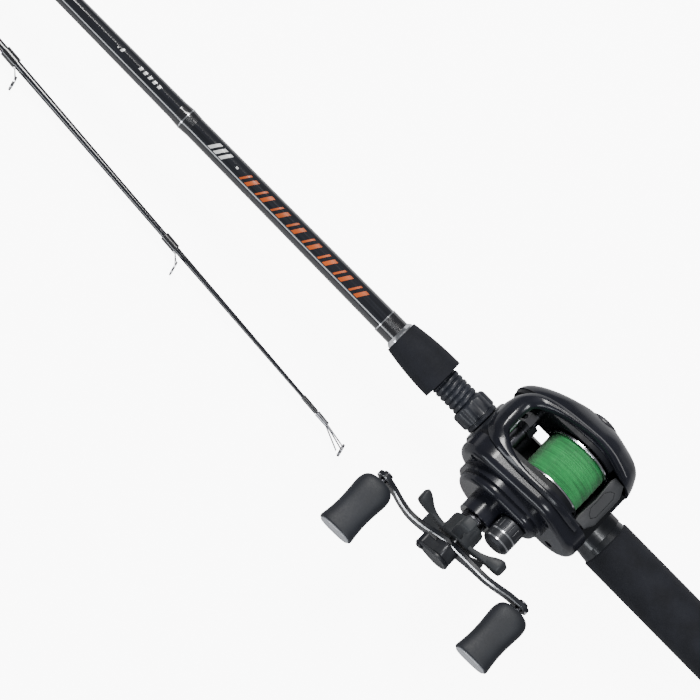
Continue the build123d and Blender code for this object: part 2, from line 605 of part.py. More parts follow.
def make_drive():
    """The main gear and everything that turns with the handle inside the gear cover."""
    shaft = disc(DRIVE_X, DRIVE_Z, 2.0, 12.9, 18.0) + disc(DRIVE_X, DRIVE_Z, 2.5, 17.9, SHAFT_END)
    shaft += disc(DRIVE_X, DRIVE_Z, 4.2, 21.6, 24.3)
    write(shaft, "drive_shaft")
    step = 360 / GEAR_TEETH
    mesh = degrees(atan2(SPOOL_Z - DRIVE_Z, SPOOL_X - DRIVE_X)) + step / 2
    gear = gear_y(DRIVE_X, DRIVE_Z, GEAR_TEETH, MODULE, 2.5, 24.4, 26.9, mesh)
    gear -= ring_y(DRIVE_X, DRIVE_Z, 13.0, 10.9, 26.0, 27.5)
    write(gear, "main_gear")
    across = degrees(atan2(WORM_Z - DRIVE_Z, WORM_X - DRIVE_X))
    cog = gear_y(DRIVE_X, DRIVE_Z, COG_TEETH, WORM_MODULE, 2.5, 19.2, 21.2, across + 180 / COG_TEETH)
    write(cog, "guide_cog")
    stack = [ring_y(DRIVE_X, DRIVE_Z, 10.0, 2.5, 27.0 + 0.75 * n, 27.65 + 0.75 * n) for n in range(4)]
    write(Compound(children=stack), "drag_washers")
    bearing = ring_y(DRIVE_X, DRIVE_Z, 6.45, 3.6, 31.6, 37.6)
    for n in range(8):
        angle = 2 * pi * n / 8
        bearing -= disc(DRIVE_X + 3.9 * cos(angle), DRIVE_Z + 3.9 * sin(angle), 0.8, 32.4, 36.8)
    write(bearing, "one_way_bearing")
    write(ring_y(DRIVE_X, DRIVE_Z, 3.5, 2.5, 31.2, 43.2), "drive_sleeve")

    # the worm's crossed groove is left out, its outside is the crest
    worm = disc(WORM_X, WORM_Z, 1.5, -14.4, 21.9) + disc(WORM_X, WORM_Z, 2.4, -11.9, 11.9)
    worm += gear_y(WORM_X, WORM_Z, WORM_TEETH, WORM_MODULE, 1.4, 19.2, 21.2, across + 180)
    write(worm, "guide_worm")


def make_level_wind():
    """The worm's cover, the guide bar and the line guide with its ring."""
    tube = ring_y(WORM_X, WORM_Z, 3.5, 2.8, -12.55, 12.55)
    tube -= block((WORM_X - 1.0, WORM_X + 1.0), (-11.6, 11.6), (WORM_Z - 5, WORM_Z))
    write(tube, "worm_cover")
    write(disc(BAR_X, BAR_Z, 1.1, -14.9, 14.9), "guide_bar")
    low, high = GUIDE_REST_Y - 2.8, GUIDE_REST_Y + 2.8

    def carrier():
        circle_at(WORM_X, WORM_Z, 5.3)
        circle_at(BAR_X, BAR_Z, 2.6)
        make_hull()

    def upright():
        Polygon((186.0, 25.0), (195.4, 30.0), (191.8, 37.6), (188.0, 37.6), align=None)

    guide = plate(carrier, low, high) + plate(upright, low, high)
    guide -= disc(WORM_X, WORM_Z, 3.58, low - 1, high + 1)
    guide -= disc(BAR_X, BAR_Z, 1.16, low - 1, high + 1)
    with BuildPart() as eye:
        with BuildSketch(eye_plane(-8)):
            SlotOverall(4.6, 2.9, rotation=90)
        extrude(amount=16)
    guide -= eye.part
    write(guide, "line_guide")
    with BuildPart() as insert:
        with BuildSketch(eye_plane(-3.2)):
            SlotOverall(4.6, 2.9, rotation=90)
            SlotOverall(3.2, 1.5, rotation=90, mode=Mode.SUBTRACT)
        extrude(amount=6.0)
    write(insert, "line_guide_insert")


def eye_plane(step):
    """The plane of the line guide's slot, moved along the line's way by step."""
    return Plane(origin=(190.2 + step, GUIDE_REST_Y, 34.2), x_dir=(0, 1, 0), z_dir=(1, 0, 0))


# ================================ the handle ====================================================
def turned(piece, angle):
    """A piece turned about the drive shaft's axis by degrees, its front going down."""
    return piece.rotate(Axis((DRIVE_X, 0, DRIVE_Z), (0, 1, 0)), angle)


def make_handle():
    """The star drag, the arm, its nut, and the two knobs on their posts."""
    star = turned_y(DRIVE_X, DRIVE_Z, [(2.58, STAR_Y), (7.6, STAR_Y), (8.8, STAR_Y + 1.2), (8.8, 54.4),
                                       (9.6, 55.2), (9.6, STAR_TOP_Y - 0.6), (9.0, STAR_TOP_Y),
                                       (2.58, STAR_TOP_Y)])
    for n in range(5):
        turn = radians(90 + 72 * n)
        plane = Plane(origin=(DRIVE_X, 0, DRIVE_Z), x_dir=(cos(turn), 0, sin(turn)),
                      z_dir=(-sin(turn), 0, cos(turn)))
        root, bend, tip = STAR_TOP_Y - 2.4, STAR_TOP_Y - 3.0, STAR_TOP_Y - 4.8
        with BuildPart() as limb:
            with BuildSketch(plane.offset(-3.4)):
                with BuildLine():
                    Spline((6.0, root), (15.0, bend), (26.2, tip))
                    Line((26.2, tip), (26.4, tip + 2.0))
                    Spline((26.4, tip + 2.0), (15.2, bend + 2.2), (6.0, root + 2.4))
                    Line((6.0, root + 2.4), (6.0, root))
                make_face()
            extrude(amount=6.8)
        star += limb.part
    star -= disc(DRIVE_X, DRIVE_Z, 2.58, 30, 70)
    write(turned(star, STAR_TURN), "star_drag")
    spring = [ring_y(DRIVE_X, DRIVE_Z, 6.6, 2.7, 43.4 + 0.85 * n, 44.0 + 0.85 * n) for n in range(3)]
    write(Compound(children=spring), "star_springs")

    with BuildPart() as handle_arm:
        with BuildSketch(Plane.XY.offset(DRIVE_Z)):
            with BuildLine():
                reach = ARM_REACH + 4.4
                outer = [(-reach, 0), (-ARM_REACH, 0.1), (-22, ARM_BOW), (0, ARM_BOW - ARM_DIP),
                         (22, ARM_BOW), (ARM_REACH, 0.1), (reach, 0)]
                upper = [(DRIVE_X + x, ARM_Y + ARM_THICK / 2 + y) for x, y in outer]
                lower = [(x, y - ARM_THICK) for x, y in reversed(upper)]
                Spline(*upper, tangents=[(1, 0), (1, 0)])
                Line(upper[-1], lower[0])
                Spline(*lower, tangents=[(-1, 0), (-1, 0)])
                Line(lower[-1], upper[0])
            make_face()
        extrude(amount=20, both=True)
        with BuildSketch(side(75)):
            arm_outline()
        extrude(amount=30, mode=Mode.INTERSECT)
        with BuildSketch(side(75)):
            circle_at(DRIVE_X, DRIVE_Z, 2.5)
            for way in (-1, 1):
                circle_at(DRIVE_X + way * ARM_REACH, DRIVE_Z, 1.9)
        extrude(amount=30, mode=Mode.SUBTRACT)
    write(turned(handle_arm.part, ARM_TURN), "handle_arm")

    with BuildPart() as nut:
        with BuildSketch(side(NUT_TOP)):
            with Locations((DRIVE_X, DRIVE_Z)):
                RegularPolygon(7.0, 6)
        extrude(amount=NUT_TOP - NUT_SEAT)
        fillet(nut.faces().sort_by(Axis.Y)[-1].edges(), 0.7)
        with BuildSketch(side(SHAFT_END)):
            circle_at(DRIVE_X, DRIVE_Z, 2.5)
        extrude(amount=10, mode=Mode.SUBTRACT)
    write(turned(nut.part, ARM_TURN), "handle_nut")

    def clip_outline():
        circle_at(DRIVE_X, DRIVE_Z, 6.4)
        circle_at(DRIVE_X + 9.8, DRIVE_Z, 3.0)
        make_hull()

    clip = plate(clip_outline, NUT_TOP + 0.02, NUT_TOP + 1.6)
    clip += disc(DRIVE_X + 10.1, DRIVE_Z, 2.6, NUT_SEAT + 1.35, NUT_TOP + 0.5)
    clip += disc(DRIVE_X + 10.1, DRIVE_Z, 1.9, NUT_TOP + 1.4, NUT_TOP + 2.4)
    write(turned(clip, ARM_TURN), "nut_retainer")

    # radius against the distance from the arm's end, the two flats cut afterwards
    knob_profile = [(2.07, 0.0), (4.4, 0.0), (7.0, 1.4), (8.5, 4.2), (8.9, 8.0), (8.55, 14.0), (8.35, 20.0),
                    (8.7, 25.5), (9.6, 30.8), (9.6, 31.7), (2.07, 31.7)]
    for label, way in (("knob_rear", -1), ("knob_front", 1)):
        x = DRIVE_X + way * ARM_REACH
        around = (x - 12, x + 12)
        knob = turned_y(x, DRIVE_Z, [(r, KNOB_REAR_Y + y) for r, y in knob_profile])
        knob -= disc(x, DRIVE_Z, 3.8, KNOB_REAR_Y + 29.4, KNOB_END_Y)
        knob &= block(around, (55, 98), (DRIVE_Z - KNOB_FLAT, DRIVE_Z + KNOB_FLAT))
        write(turned(knob, ARM_TURN), label)
        cap = disc(x, DRIVE_Z, 8.7, KNOB_END_Y - 0.55, KNOB_END_Y)
        cap &= block(around, (55, 99), (DRIVE_Z - KNOB_FLAT + 0.9, DRIVE_Z + KNOB_FLAT - 0.9))
        cap += disc(x, DRIVE_Z, 3.75, KNOB_REAR_Y + 30.0, KNOB_END_Y - 0.3)
        write(turned(cap, ARM_TURN), label + "_cap")
    posts = []
    for way in (-1, 1):
        x = DRIVE_X + way * ARM_REACH
        post = disc(x, DRIVE_Z, 1.9, 55.7, 60.9) + disc(x, DRIVE_Z, 2.0, 60.85, 90.6)
        post += disc(x, DRIVE_Z, 2.5, 55.7, 56.4) + disc(x, DRIVE_Z, 2.4, 60.85, 61.1)
        posts.append(turned(post, ARM_TURN))
    write(Compound(children=posts), "knob_posts")



def arm_outline():
    """The handle arm seen from its outer side: a slim bar swept the opposite way in each half."""
    for way in (-1, 1):
        stations = [(0, 0, 6.6), (12, -3.2, 5.2), (24, -ARM_SWEEP, 4.2), (34, -3.4, 4.0), (ARM_REACH, 0, 4.3)]
        middle = [(DRIVE_X + way * a, DRIVE_Z + way * b, half) for a, b, half in stations]
        with BuildLine() as edge:
            top = [(x, z + half) for x, z, half in middle]
            low = [(x, z - half) for x, z, half in reversed(middle)]
            Spline(*top)
            Line(top[-1], low[0])
            Spline(*low)
            Line(low[-1], top[0])
        make_face(edge.edges())
        circle_at(middle[-1][0], middle[-1][1], 4.3)
    circle_at(DRIVE_X, DRIVE_Z, 7.2)


def make_caps():
    """The cast-control cap over the end of the spool's shaft, with its two bright rings."""
    cap = turned_y(SPOOL_X, SPOOL_Z, [(0, 45.4), (5.05, 45.4), (5.05, CAP_Y), (CAP_R - 0.4, CAP_Y),
                                      (CAP_R, CAP_Y + 0.6), (CAP_R, RING_Y[0]), (CAP_R - 0.35, RING_Y[0]),
                                      (CAP_R - 0.35, RING_Y[1]), (CAP_R, RING_Y[1]), (CAP_R, RING_Y[2]),
                                      (CAP_R - 0.35, RING_Y[2]), (CAP_R - 0.35, RING_Y[3]),
                                      (CAP_R, RING_Y[3]), (CAP_R - 0.2, RING_Y[3] + 0.5),
                                      (CAP_R - 1.8, CAP_END_Y), (0, CAP_END_Y)])
    for n in range(16):
        angle = 2 * pi * n / 16
        x, z = SPOOL_X + (CAP_R + 0.25) * cos(angle), SPOOL_Z + (CAP_R + 0.25) * sin(angle)
        cap -= disc(x, z, 0.5, CAP_Y + 1.4, RING_Y[0] - 1.0)
    write(cap, "cast_control_cap")
    rings = [ring_y(SPOOL_X, SPOOL_Z, CAP_R + 0.02, CAP_R - 0.35, *RING_Y[:2]),
             ring_y(SPOOL_X, SPOOL_Z, CAP_R + 0.02, CAP_R - 0.35, *RING_Y[2:])]
    write(Compound(children=rings), "cap_rings")


# ================================ the upper section =============================================
def tip_place():
    """Where the upper section's end lies: its x runs down the blank and its z to the guides."""
    turn = radians(TIP_ANGLE)
    plane = Plane(origin=(TIP_X, TIP_Y, TIP_Z), x_dir=(cos(turn), -sin(turn), 0),
                  z_dir=(sin(turn), cos(turn), 0))
    return plane.location


def make_tip_section():
    """The upper section, built along +X from its tip and then laid in its place."""
    place = tip_place()
    stations = [0, 30, 120, 300, 500, 700, 850, TIP_BLANK_LENGTH]
    outer = [(s, tip_r(s)) for s in stations]
    bore_start = TIP_BLANK_LENGTH - SOCKET_LENGTH
    blank = turned_x(outer + [(TIP_BLANK_LENGTH, FERRULE_R + 0.1), (bore_start, FERRULE_R + 0.1),
                              (bore_start, 2.4), (420, 1.2), (420, 0)] + [(0, 0)])
    write(place * blank, "tip_blank")

    frames, rings, wraps = [], [], []
    for s, ring_r in zip(GUIDE_PLACES, GUIDE_RINGS):
        plane = small_plane(s, ring_r)
        foot_z = tip_r(s + 16) + 0.03
        frame = guide_frame(plane, ring_r + 0.02, 0.9, ((s + 4.0, s + 13.0),), foot_z, 1.3, 0.5)
        frames.append(place * frame)
        rings.append(place * guide_ring(plane, ring_r, RING_WALL, 1.1))
        wrap = tip_sleeve(s + 5.5, s + 14.0, 0.75) - frame
        wraps.append(place * wrap)
    wraps.append(place * tip_sleeve(7.0, 17.0, 0.4))
    wraps.append(place * tip_sleeve(bore_start + 4, TIP_BLANK_LENGTH - 3, 0.45, 0.09))
    write(Compound(children=frames), "tip_guide_frames")
    write(Compound(children=rings), "tip_guide_rings")
    write(Compound(children=wraps), "tip_wraps")

    ring_at = (-TIP_TOP_REACH + 2.4, 0, 3.2)
    top_plane = Plane(origin=ring_at, x_dir=(0, 1, 0), z_dir=(cos(0.35), 0, sin(0.35)))
    with BuildPart() as holder:
        with BuildSketch(top_plane.offset(-0.5)):
            Circle(3.4)
            Circle(2.42, mode=Mode.SUBTRACT)
        extrude(amount=1.0)
    holder = holder.part
    holder += turned_x([(-1.0, 0), (-1.0, 1.3), (6.6, 1.5), (6.6, tip_r(6.6)), (0, tip_r(0)), (0, 0)])
    for way in (-1, 1):
        holder += bar((-0.6, way * 0.8, 0), (ring_at[0] + 0.5, way * 2.6, 2.0), 0.4)
    holder += bar((-0.6, 0, 0.7), (ring_at[0] - 0.9, 0, 5.9), 0.4)
    with BuildPart() as seat:
        with BuildSketch(top_plane.offset(-2)):
            Circle(2.42)
        extrude(amount=4)
    holder -= seat.part
    write(place * holder, "tip_top_frame")
    write(place * guide_ring(top_plane, 2.4, 0.65, 1.2), "tip_top_ring")


def tip_sleeve(low, high, rise, gap=0.0):
    """A thin sleeve on the upper section's blank, gap clear of it all round."""
    return turned_x([(low, tip_r(low) + gap), (low, tip_r(low) + rise), (high, tip_r(high) + rise),
                     (high, tip_r(high) + gap)])


def small_plane(s, ring_r):
    """The plane of a single-footed guide's ring, leaning towards the tip."""
    lean = radians(20)
    height = tip_r(s) + 3.0 + ring_r
    return Plane(origin=(s - 1.0, 0, height), x_dir=(0, 1, 0), z_dir=(cos(lean), 0, sin(lean)))


make_butt_section()
make_seat()
make_frame()
make_side_plates()
make_spool()
make_clutch()
make_drive()
make_level_wind()
make_handle()
make_caps()
make_tip_section()
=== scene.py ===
"""The looks of a two-piece baitcasting rod with its left-hand low-profile reel."""

import json
from math import asin, cos, pi, radians, sin, sqrt

import bmesh
import bpy
from mathutils import Matrix, Vector


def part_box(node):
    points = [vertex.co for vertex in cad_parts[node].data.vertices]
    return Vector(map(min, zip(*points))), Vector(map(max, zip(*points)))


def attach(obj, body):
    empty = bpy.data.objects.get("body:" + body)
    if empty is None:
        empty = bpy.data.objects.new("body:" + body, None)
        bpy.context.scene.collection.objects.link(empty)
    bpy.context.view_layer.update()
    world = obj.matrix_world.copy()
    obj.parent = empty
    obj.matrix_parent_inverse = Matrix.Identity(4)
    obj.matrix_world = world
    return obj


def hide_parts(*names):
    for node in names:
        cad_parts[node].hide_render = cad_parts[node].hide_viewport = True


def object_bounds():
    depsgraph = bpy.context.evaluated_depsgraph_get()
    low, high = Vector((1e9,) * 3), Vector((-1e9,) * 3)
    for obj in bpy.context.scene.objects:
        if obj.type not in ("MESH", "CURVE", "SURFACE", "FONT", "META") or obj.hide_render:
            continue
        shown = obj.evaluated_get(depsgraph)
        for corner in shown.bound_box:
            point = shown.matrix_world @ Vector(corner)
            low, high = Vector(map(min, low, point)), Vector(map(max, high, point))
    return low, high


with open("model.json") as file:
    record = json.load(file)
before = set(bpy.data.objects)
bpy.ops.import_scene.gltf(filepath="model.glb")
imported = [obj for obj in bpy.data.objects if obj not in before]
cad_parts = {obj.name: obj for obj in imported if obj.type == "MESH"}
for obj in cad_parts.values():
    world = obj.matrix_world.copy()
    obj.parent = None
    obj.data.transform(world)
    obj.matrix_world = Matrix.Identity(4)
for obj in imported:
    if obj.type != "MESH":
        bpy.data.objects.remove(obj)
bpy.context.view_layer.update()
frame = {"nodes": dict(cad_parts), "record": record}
scene = bpy.context.scene
MM = 0.001

# ---- where things are, in millimetres, read from the frame ------------------------------------


def span(node):
    """A node's lowest and highest corner in millimetres."""
    low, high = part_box(node)
    return low / MM, high / MM


def middle(node):
    low, high = span(node)
    return (low + high) / 2


SPOOL = middle("spool_shaft")
SHAFT = middle("main_gear")
SPOOL_X, SPOOL_Z = SPOOL.x, SPOOL.z
DRIVE_X, DRIVE_Z = SHAFT.x, SHAFT.z
ARM_REACH = 43.2  # shaft to each knob's axis
ARM_TURN = radians(6.6)
STAR_TURN = radians(11.0)
KNOB_Y = 61.2  # a knob's inner end
KNOB_BORE = 2.07
# the side outline's circles: x, z and radius
CASE = ((186.6, 26.0, 16.8), (160.0, 30.0, 18.0), (146.5, 25.0, 14.8))
CASE_MIDDLE = (169.1, 28.4)
THREAD_START, THREAD_END, THREAD_PITCH = 201.2, 231.0, 2.9


# ================================ materials =====================================================
class Nodes:
    """A procedural material under construction, with its shader and object coordinates."""

    def __init__(self, name, colour, rough, metallic=0.0, coat=0.0, coat_rough=0.08, sheen=0.0,
                 level=0.5):
        self.made = bpy.data.materials.new(name)
        self.made.use_nodes = True
        self.tree = self.made.node_tree
        self.shader = self.tree.nodes["Principled BSDF"]
        self.shader.inputs["Base Color"].default_value = (*colour, 1)
        self.shader.inputs["Roughness"].default_value = rough
        self.shader.inputs["Metallic"].default_value = metallic
        self.shader.inputs["Coat Weight"].default_value = coat
        self.shader.inputs["Coat Roughness"].default_value = coat_rough
        self.shader.inputs["Sheen Weight"].default_value = sheen
        self.shader.inputs["Specular IOR Level"].default_value = level
        self.place = self.tree.nodes.new("ShaderNodeTexCoord").outputs["Object"]

    def add(self, kind, **values):
        node = self.tree.nodes.new(kind)
        for key, value in values.items():
            setattr(node, key, value)
        return node

    def link(self, source, target):
        self.tree.links.new(source, target)

    def stretched(self, scale):
        """Object coordinates scaled along each axis."""
        node = self.add("ShaderNodeMapping")
        node.inputs["Scale"].default_value = scale
        self.link(self.place, node.inputs["Vector"])
        return node.outputs["Vector"]

    def noise(self, scale, detail=4.0, stretch=(1, 1, 1), rough=0.55):
        node = self.add("ShaderNodeTexNoise")
        node.inputs["Scale"].default_value = scale
        node.inputs["Detail"].default_value = detail
        node.inputs["Roughness"].default_value = rough
        self.link(self.stretched(stretch), node.inputs["Vector"])
        return node.outputs["Fac"]

    def wave(self, axis, pitch, distortion=0.0, detail=1.0):
        """Bands across an axis, one every pitch metres."""
        node = self.add("ShaderNodeTexWave", bands_direction=axis)
        node.inputs["Scale"].default_value = 1 / (pitch * 3.18)
        node.inputs["Distortion"].default_value = distortion
        node.inputs["Detail"].default_value = detail
        node.inputs["Detail Scale"].default_value = 2.0
        self.link(self.place, node.inputs["Vector"])
        return node.outputs["Fac"]

    def tint(self, value, dark, light, low=0.3, high=0.7):
        """Colours the surface from dark to light by a value."""
        ramp = self.add("ShaderNodeValToRGB")
        ramp.color_ramp.elements[0].position, ramp.color_ramp.elements[1].position = low, high
        ramp.color_ramp.elements[0].color = (*dark, 1)
        ramp.color_ramp.elements[1].color = (*light, 1)
        self.link(value, ramp.inputs["Fac"])
        self.link(ramp.outputs["Color"], self.shader.inputs["Base Color"])

    def roughen(self, value, low, high):
        node = self.add("ShaderNodeMapRange")
        node.inputs["To Min"].default_value = low
        node.inputs["To Max"].default_value = high
        self.link(value, node.inputs["Value"])
        self.link(node.outputs["Result"], self.shader.inputs["Roughness"])

    def bump(self, value, depth, strength=1.0, before=None):
        """Raises the surface by a value, depth in metres; a second bump follows the first."""
        node = self.add("ShaderNodeBump")
        node.inputs["Strength"].default_value = strength
        node.inputs["Distance"].default_value = depth
        self.link(value, node.inputs["Height"])
        if before:
            self.link(before, node.inputs["Normal"])
        self.link(node.outputs["Normal"], self.shader.inputs["Normal"])
        return node.outputs["Normal"]


def seen_or_not(tree, unseen, seen, target):
    """Sets a value to one number for the camera's own rays and another for all the rest."""
    pick = tree.nodes.new("ShaderNodeMapRange")
    pick.inputs["To Min"].default_value = unseen
    pick.inputs["To Max"].default_value = seen
    tree.links.new(tree.nodes.new("ShaderNodeLightPath").outputs["Is Camera Ray"], pick.inputs["Value"])
    tree.links.new(pick.outputs["Result"], target)


def lacquer(name, colour, rough, coat=1.0, grain=0.00002, lift=1.6, metallic=0.0, level=0.4):
    """Painted or moulded black: slow colour drift, fine orange peel and handling marks."""
    n = Nodes(name, colour, rough, metallic=metallic, coat=coat, coat_rough=0.09, level=level)
    drift = n.noise(60, 3)
    n.tint(drift, [c * 0.8 for c in colour], [c * lift for c in colour])
    n.roughen(n.noise(350, 5), rough * 0.75, rough * 1.35)
    n.bump(n.noise(2200, 2), grain, 0.35)
    return n.made


def metal(name, colour, rough, axis=None, pitch=0.0002, depth=0.000008):
    """Bare or anodised metal with turning marks across an axis."""
    n = Nodes(name, colour, rough, metallic=1.0)
    n.tint(n.noise(120, 4), [c * 0.85 for c in colour], [min(c * 1.12, 1) for c in colour])
    n.roughen(n.noise(500, 4), rough * 0.7, rough * 1.5)
    marks = n.wave(axis, pitch, 0.4) if axis else n.noise(1500, 3)
    n.bump(marks, depth, 0.5)
    return n.made


def foam(name, colour):
    """Closed-cell grip foam: small open pores and a slow change of tone."""
    n = Nodes(name, colour, 0.82, sheen=0.03, level=0.25)
    n.tint(n.noise(90, 5), [c * 0.75 for c in colour], [c * 1.5 for c in colour])
    cells = n.add("ShaderNodeTexVoronoi", feature="F1")
    cells.inputs["Scale"].default_value = 1900
    n.link(n.place, cells.inputs["Vector"])
    first = n.bump(cells.outputs["Distance"], 0.00012, 0.55)
    n.bump(n.noise(500, 4), 0.0001, 0.4, first)
    n.roughen(n.noise(700, 3), 0.72, 0.92)
    return n.made


def rubber(name, colour):
    """Soft-touch rubber paint: even and matt, with a fine tooth."""
    n = Nodes(name, colour, 0.55, sheen=0.04, level=0.35)
    n.tint(n.noise(45, 3), [c * 0.85 for c in colour], [c * 1.25 for c in colour])
    n.roughen(n.noise(900, 4), 0.46, 0.66)
    n.bump(n.noise(3200, 3), 0.00003, 0.5)
    return n.made


def thread_wrap(name, colour):
    """Whipping thread under varnish: one ridge every 0.3 mm along the rod, with painted shade between the
    turns and a painted highlight on each ridge.
    """
    n = Nodes(name, colour, 0.25, coat=1.0, coat_rough=0.05)
    turns = n.wave("X", 0.0003, 0.15)
    # painted shade in the grooves between turns and a painted highlight on the ridges
    n.tint(turns, [c * 0.6 for c in colour], [c * 1.8 for c in colour])
    n.bump(turns, 0.00003, 0.45)
    n.roughen(n.noise(400, 3), 0.18, 0.34)
    return n.made


def blank_finish(name, colour):
    """Carbon blank under lacquer: faint tape lines round it and a long fibre grain."""
    n = Nodes(name, colour, 0.16, coat=1.0, coat_rough=0.04)
    tape = n.wave("X", 0.0016, 0.3)
    fibre = n.noise(900, 3, (0.03, 1, 1))
    n.tint(fibre, [c * 0.7 for c in colour], [c * 1.9 for c in colour])
    first = n.bump(tape, 0.000012, 0.35)
    n.bump(fibre, 0.000006, 0.3, first)
    n.roughen(n.noise(300, 4), 0.12, 0.22)
    return n.made


def braid_finish(name):
    """Braided line on the spool: crossed turns with painted shade in the grooves and a painted highlight on
    the crests, over strand and patch tone.
    """
    n = Nodes(name, (0.03, 0.42, 0.09), 0.42, sheen=0.3, level=0.45)
    # the turns give the ridges' bump and also painted shade in the grooves and a painted highlight on the
    # crests
    turns = n.wave("Y", 0.00062, 1.6, 2.0)
    strands = n.noise(420, 4, (0.07, 4.2, 0.07), 0.65)
    patches = n.noise(150, 3, (0.5, 1.4, 0.5))
    worn = n.add("ShaderNodeMath", operation="MULTIPLY_ADD")
    worn.inputs[1].default_value = 2.2
    n.link(strands, worn.inputs[0])
    n.link(patches, worn.inputs[2])
    groove_shade_and_tone = n.add("ShaderNodeMath", operation="MULTIPLY_ADD")
    groove_shade_and_tone.inputs[1].default_value = 0.22
    n.link(turns, groove_shade_and_tone.inputs[0])
    n.link(worn.outputs[0], groove_shade_and_tone.inputs[2])
    shade = n.add("ShaderNodeMath", operation="MULTIPLY")
    shade.inputs[1].default_value = 0.45
    n.link(groove_shade_and_tone.outputs[0], shade.inputs[0])
    # colour from painted groove shade to painted crest highlight, with strand and patch tone mixed in
    n.tint(shade.outputs[0], (0.0008, 0.022, 0.006), (0.022, 0.36, 0.09), 0.42, 1.0)
    plait = n.noise(2600, 3, (1, 0.6, 1))
    first = n.bump(turns, 0.00008, 0.6)
    n.bump(plait, 0.00006, 0.5, first)
    n.roughen(plait, 0.34, 0.55)
    return n.made


BLACK = (0.0085, 0.009, 0.013)
LOOKS = {
    "blank": blank_finish("blank_lacquer", (0.0075, 0.008, 0.011)),
    "butt_cap": rubber("butt_rubber", (0.011, 0.011, 0.013)),
    "eva_foam": foam("grip_foam", (0.0075, 0.008, 0.0115)),
    "bright_trim": metal("bright_trim", (0.83, 0.84, 0.87), 0.16, "Y", 0.00025),
    "wraps": thread_wrap("wrap_thread", (0.008, 0.008, 0.010)),
    "guide_frames": metal("guide_wire", (0.33, 0.33, 0.35), 0.24),
    "guide_rings": lacquer("guide_ceramic", (0.018, 0.018, 0.022), 0.14, 0.6, 0.000006),
    "seat": lacquer("seat_plastic", (0.0085, 0.0095, 0.013), 0.30, 0.35),
    "arbors": foam("arbor_foam", (0.35, 0.30, 0.22)),
    "lock_nut": lacquer("nut_plastic", (0.0095, 0.011, 0.016), 0.42, 0.1, 0.00003),
    "housing": lacquer("housing_paint", BLACK, 0.21, 0.2, 0.000008, level=0.27),
    "steel": metal("turned_steel", (0.60, 0.60, 0.62), 0.22, "Y"),
    "dial": lacquer("dial_plastic", (0.02, 0.02, 0.024), 0.45, 0.1),
    "spool_metal": metal("spool_anodised", (0.05, 0.052, 0.06), 0.25, "Y"),
    "braid": braid_finish("braid_line"),
    "gear_brass": metal("gear_brass", (0.72, 0.52, 0.22), 0.26, "Y"),
    "thumb_bar": lacquer("thumb_bar_plastic", (0.024, 0.025, 0.028), 0.5, 0.0, 0.00005, 1.3),
    "nylon": lacquer("nylon", (0.70, 0.69, 0.62), 0.45, 0.0, 0.00003, 1.1),
    "dark_steel": metal("dark_steel", (0.09, 0.09, 0.10), 0.3, "Y"),
    "line_guide": lacquer("guide_plastic", (0.014, 0.014, 0.017), 0.34, 0.2),
    "dark_metal": lacquer("anodised_black", (0.020, 0.021, 0.025), 0.36, 0.1, 0.00001, 1.4, 0.3),
    "knob_rubber": rubber("knob_rubber", (0.0105, 0.012, 0.0165)),
    "knob_caps": lacquer("knob_cap_plastic", (0.36, 0.37, 0.40), 0.32, 0.4, 0.00001, 1.15),
}
for row in frame["record"]["subparts"]:
    data = frame["nodes"][row["node"]].data
    data.materials.clear()
    data.materials.append(LOOKS[row["material_slot"]])

for node in ("knob_posts", "star_springs", "drive_sleeve"):
    frame["nodes"][node].data.materials[0] = LOOKS["dark_steel"]
CAST_BLACK = lacquer("cast_frame_black", (0.0065, 0.007, 0.009), 0.42, 0.0, 0.00003, 1.5, level=0.13)
frame["nodes"]["reel_frame"].data.materials[0] = CAST_BLACK

ORANGE = lacquer("orange_print", (0.46, 0.075, 0.003), 0.4, 0.6, 0.000004, 1.15)
WHITE = lacquer("white_print", (0.62, 0.62, 0.62), 0.4, 0.6, 0.000004, 1.05)
POLISHED = metal("cut_edge", (0.88, 0.89, 0.92), 0.22)
ARM_BLACK = lacquer("arm_black", (0.011, 0.012, 0.015), 0.34, 0.0, 0.00001, 1.4, level=0.22)
STAR_BLACK = lacquer("star_black", (0.024, 0.026, 0.029), 0.46, 0.0, 0.00002, 1.3, level=0.25)


# ================================ mesh tools ====================================================
def smooth_by_angle(mesh, limit=38.0):
    """Welds, orients and shades a mesh, with hard edges where it turns by more than the limit."""
    bm = bmesh.new()
    bm.from_mesh(mesh)
    bmesh.ops.remove_doubles(bm, verts=bm.verts, dist=2e-6)
    bmesh.ops.recalc_face_normals(bm, faces=bm.faces)
    for face in bm.faces:
        face.smooth = True
    for edge in bm.edges:
        edge.smooth = len(edge.link_faces) == 2 and edge.calc_face_angle(0) < radians(limit)
    bm.to_mesh(mesh)
    bm.free()


def piece(name, shape, body, slot, *nodes, look=None, second=None, pick=None, limit=38.0):
    """A new piece from (points, faces) in millimetres that rides on a body."""
    points, faces = shape
    mesh = bpy.data.meshes.new(name)
    mesh.from_pydata([[c * MM for c in p] for p in points], [], faces)
    mesh.materials.append(look or LOOKS[slot])
    if second:
        mesh.materials.append(second)
        for polygon in mesh.polygons:
            polygon.material_index = int(pick(polygon.index))
    smooth_by_angle(mesh, limit)
    made = bpy.data.objects.new(name, mesh)
    scene.collection.objects.link(made)
    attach(made, body)
    if nodes:
        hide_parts(*nodes)
    return made


def loft(rings, caps=True, wrap=False):
    """Quads between rings of equally many points."""
    count = len(rings[0])
    points = [tuple(p) for ring in rings for p in ring]
    faces = []
    for k in range(len(rings) if wrap else len(rings) - 1):
        a, b = k * count, (k + 1) % len(rings) * count
        for n in range(count):
            m = (n + 1) % count
            faces.append((a + n, a + m, b + m, b + n))
    if caps and not wrap:
        faces.append(tuple(range(count))[::-1])
        faces.append(tuple(range(len(points) - count, len(points))))
    return points, faces


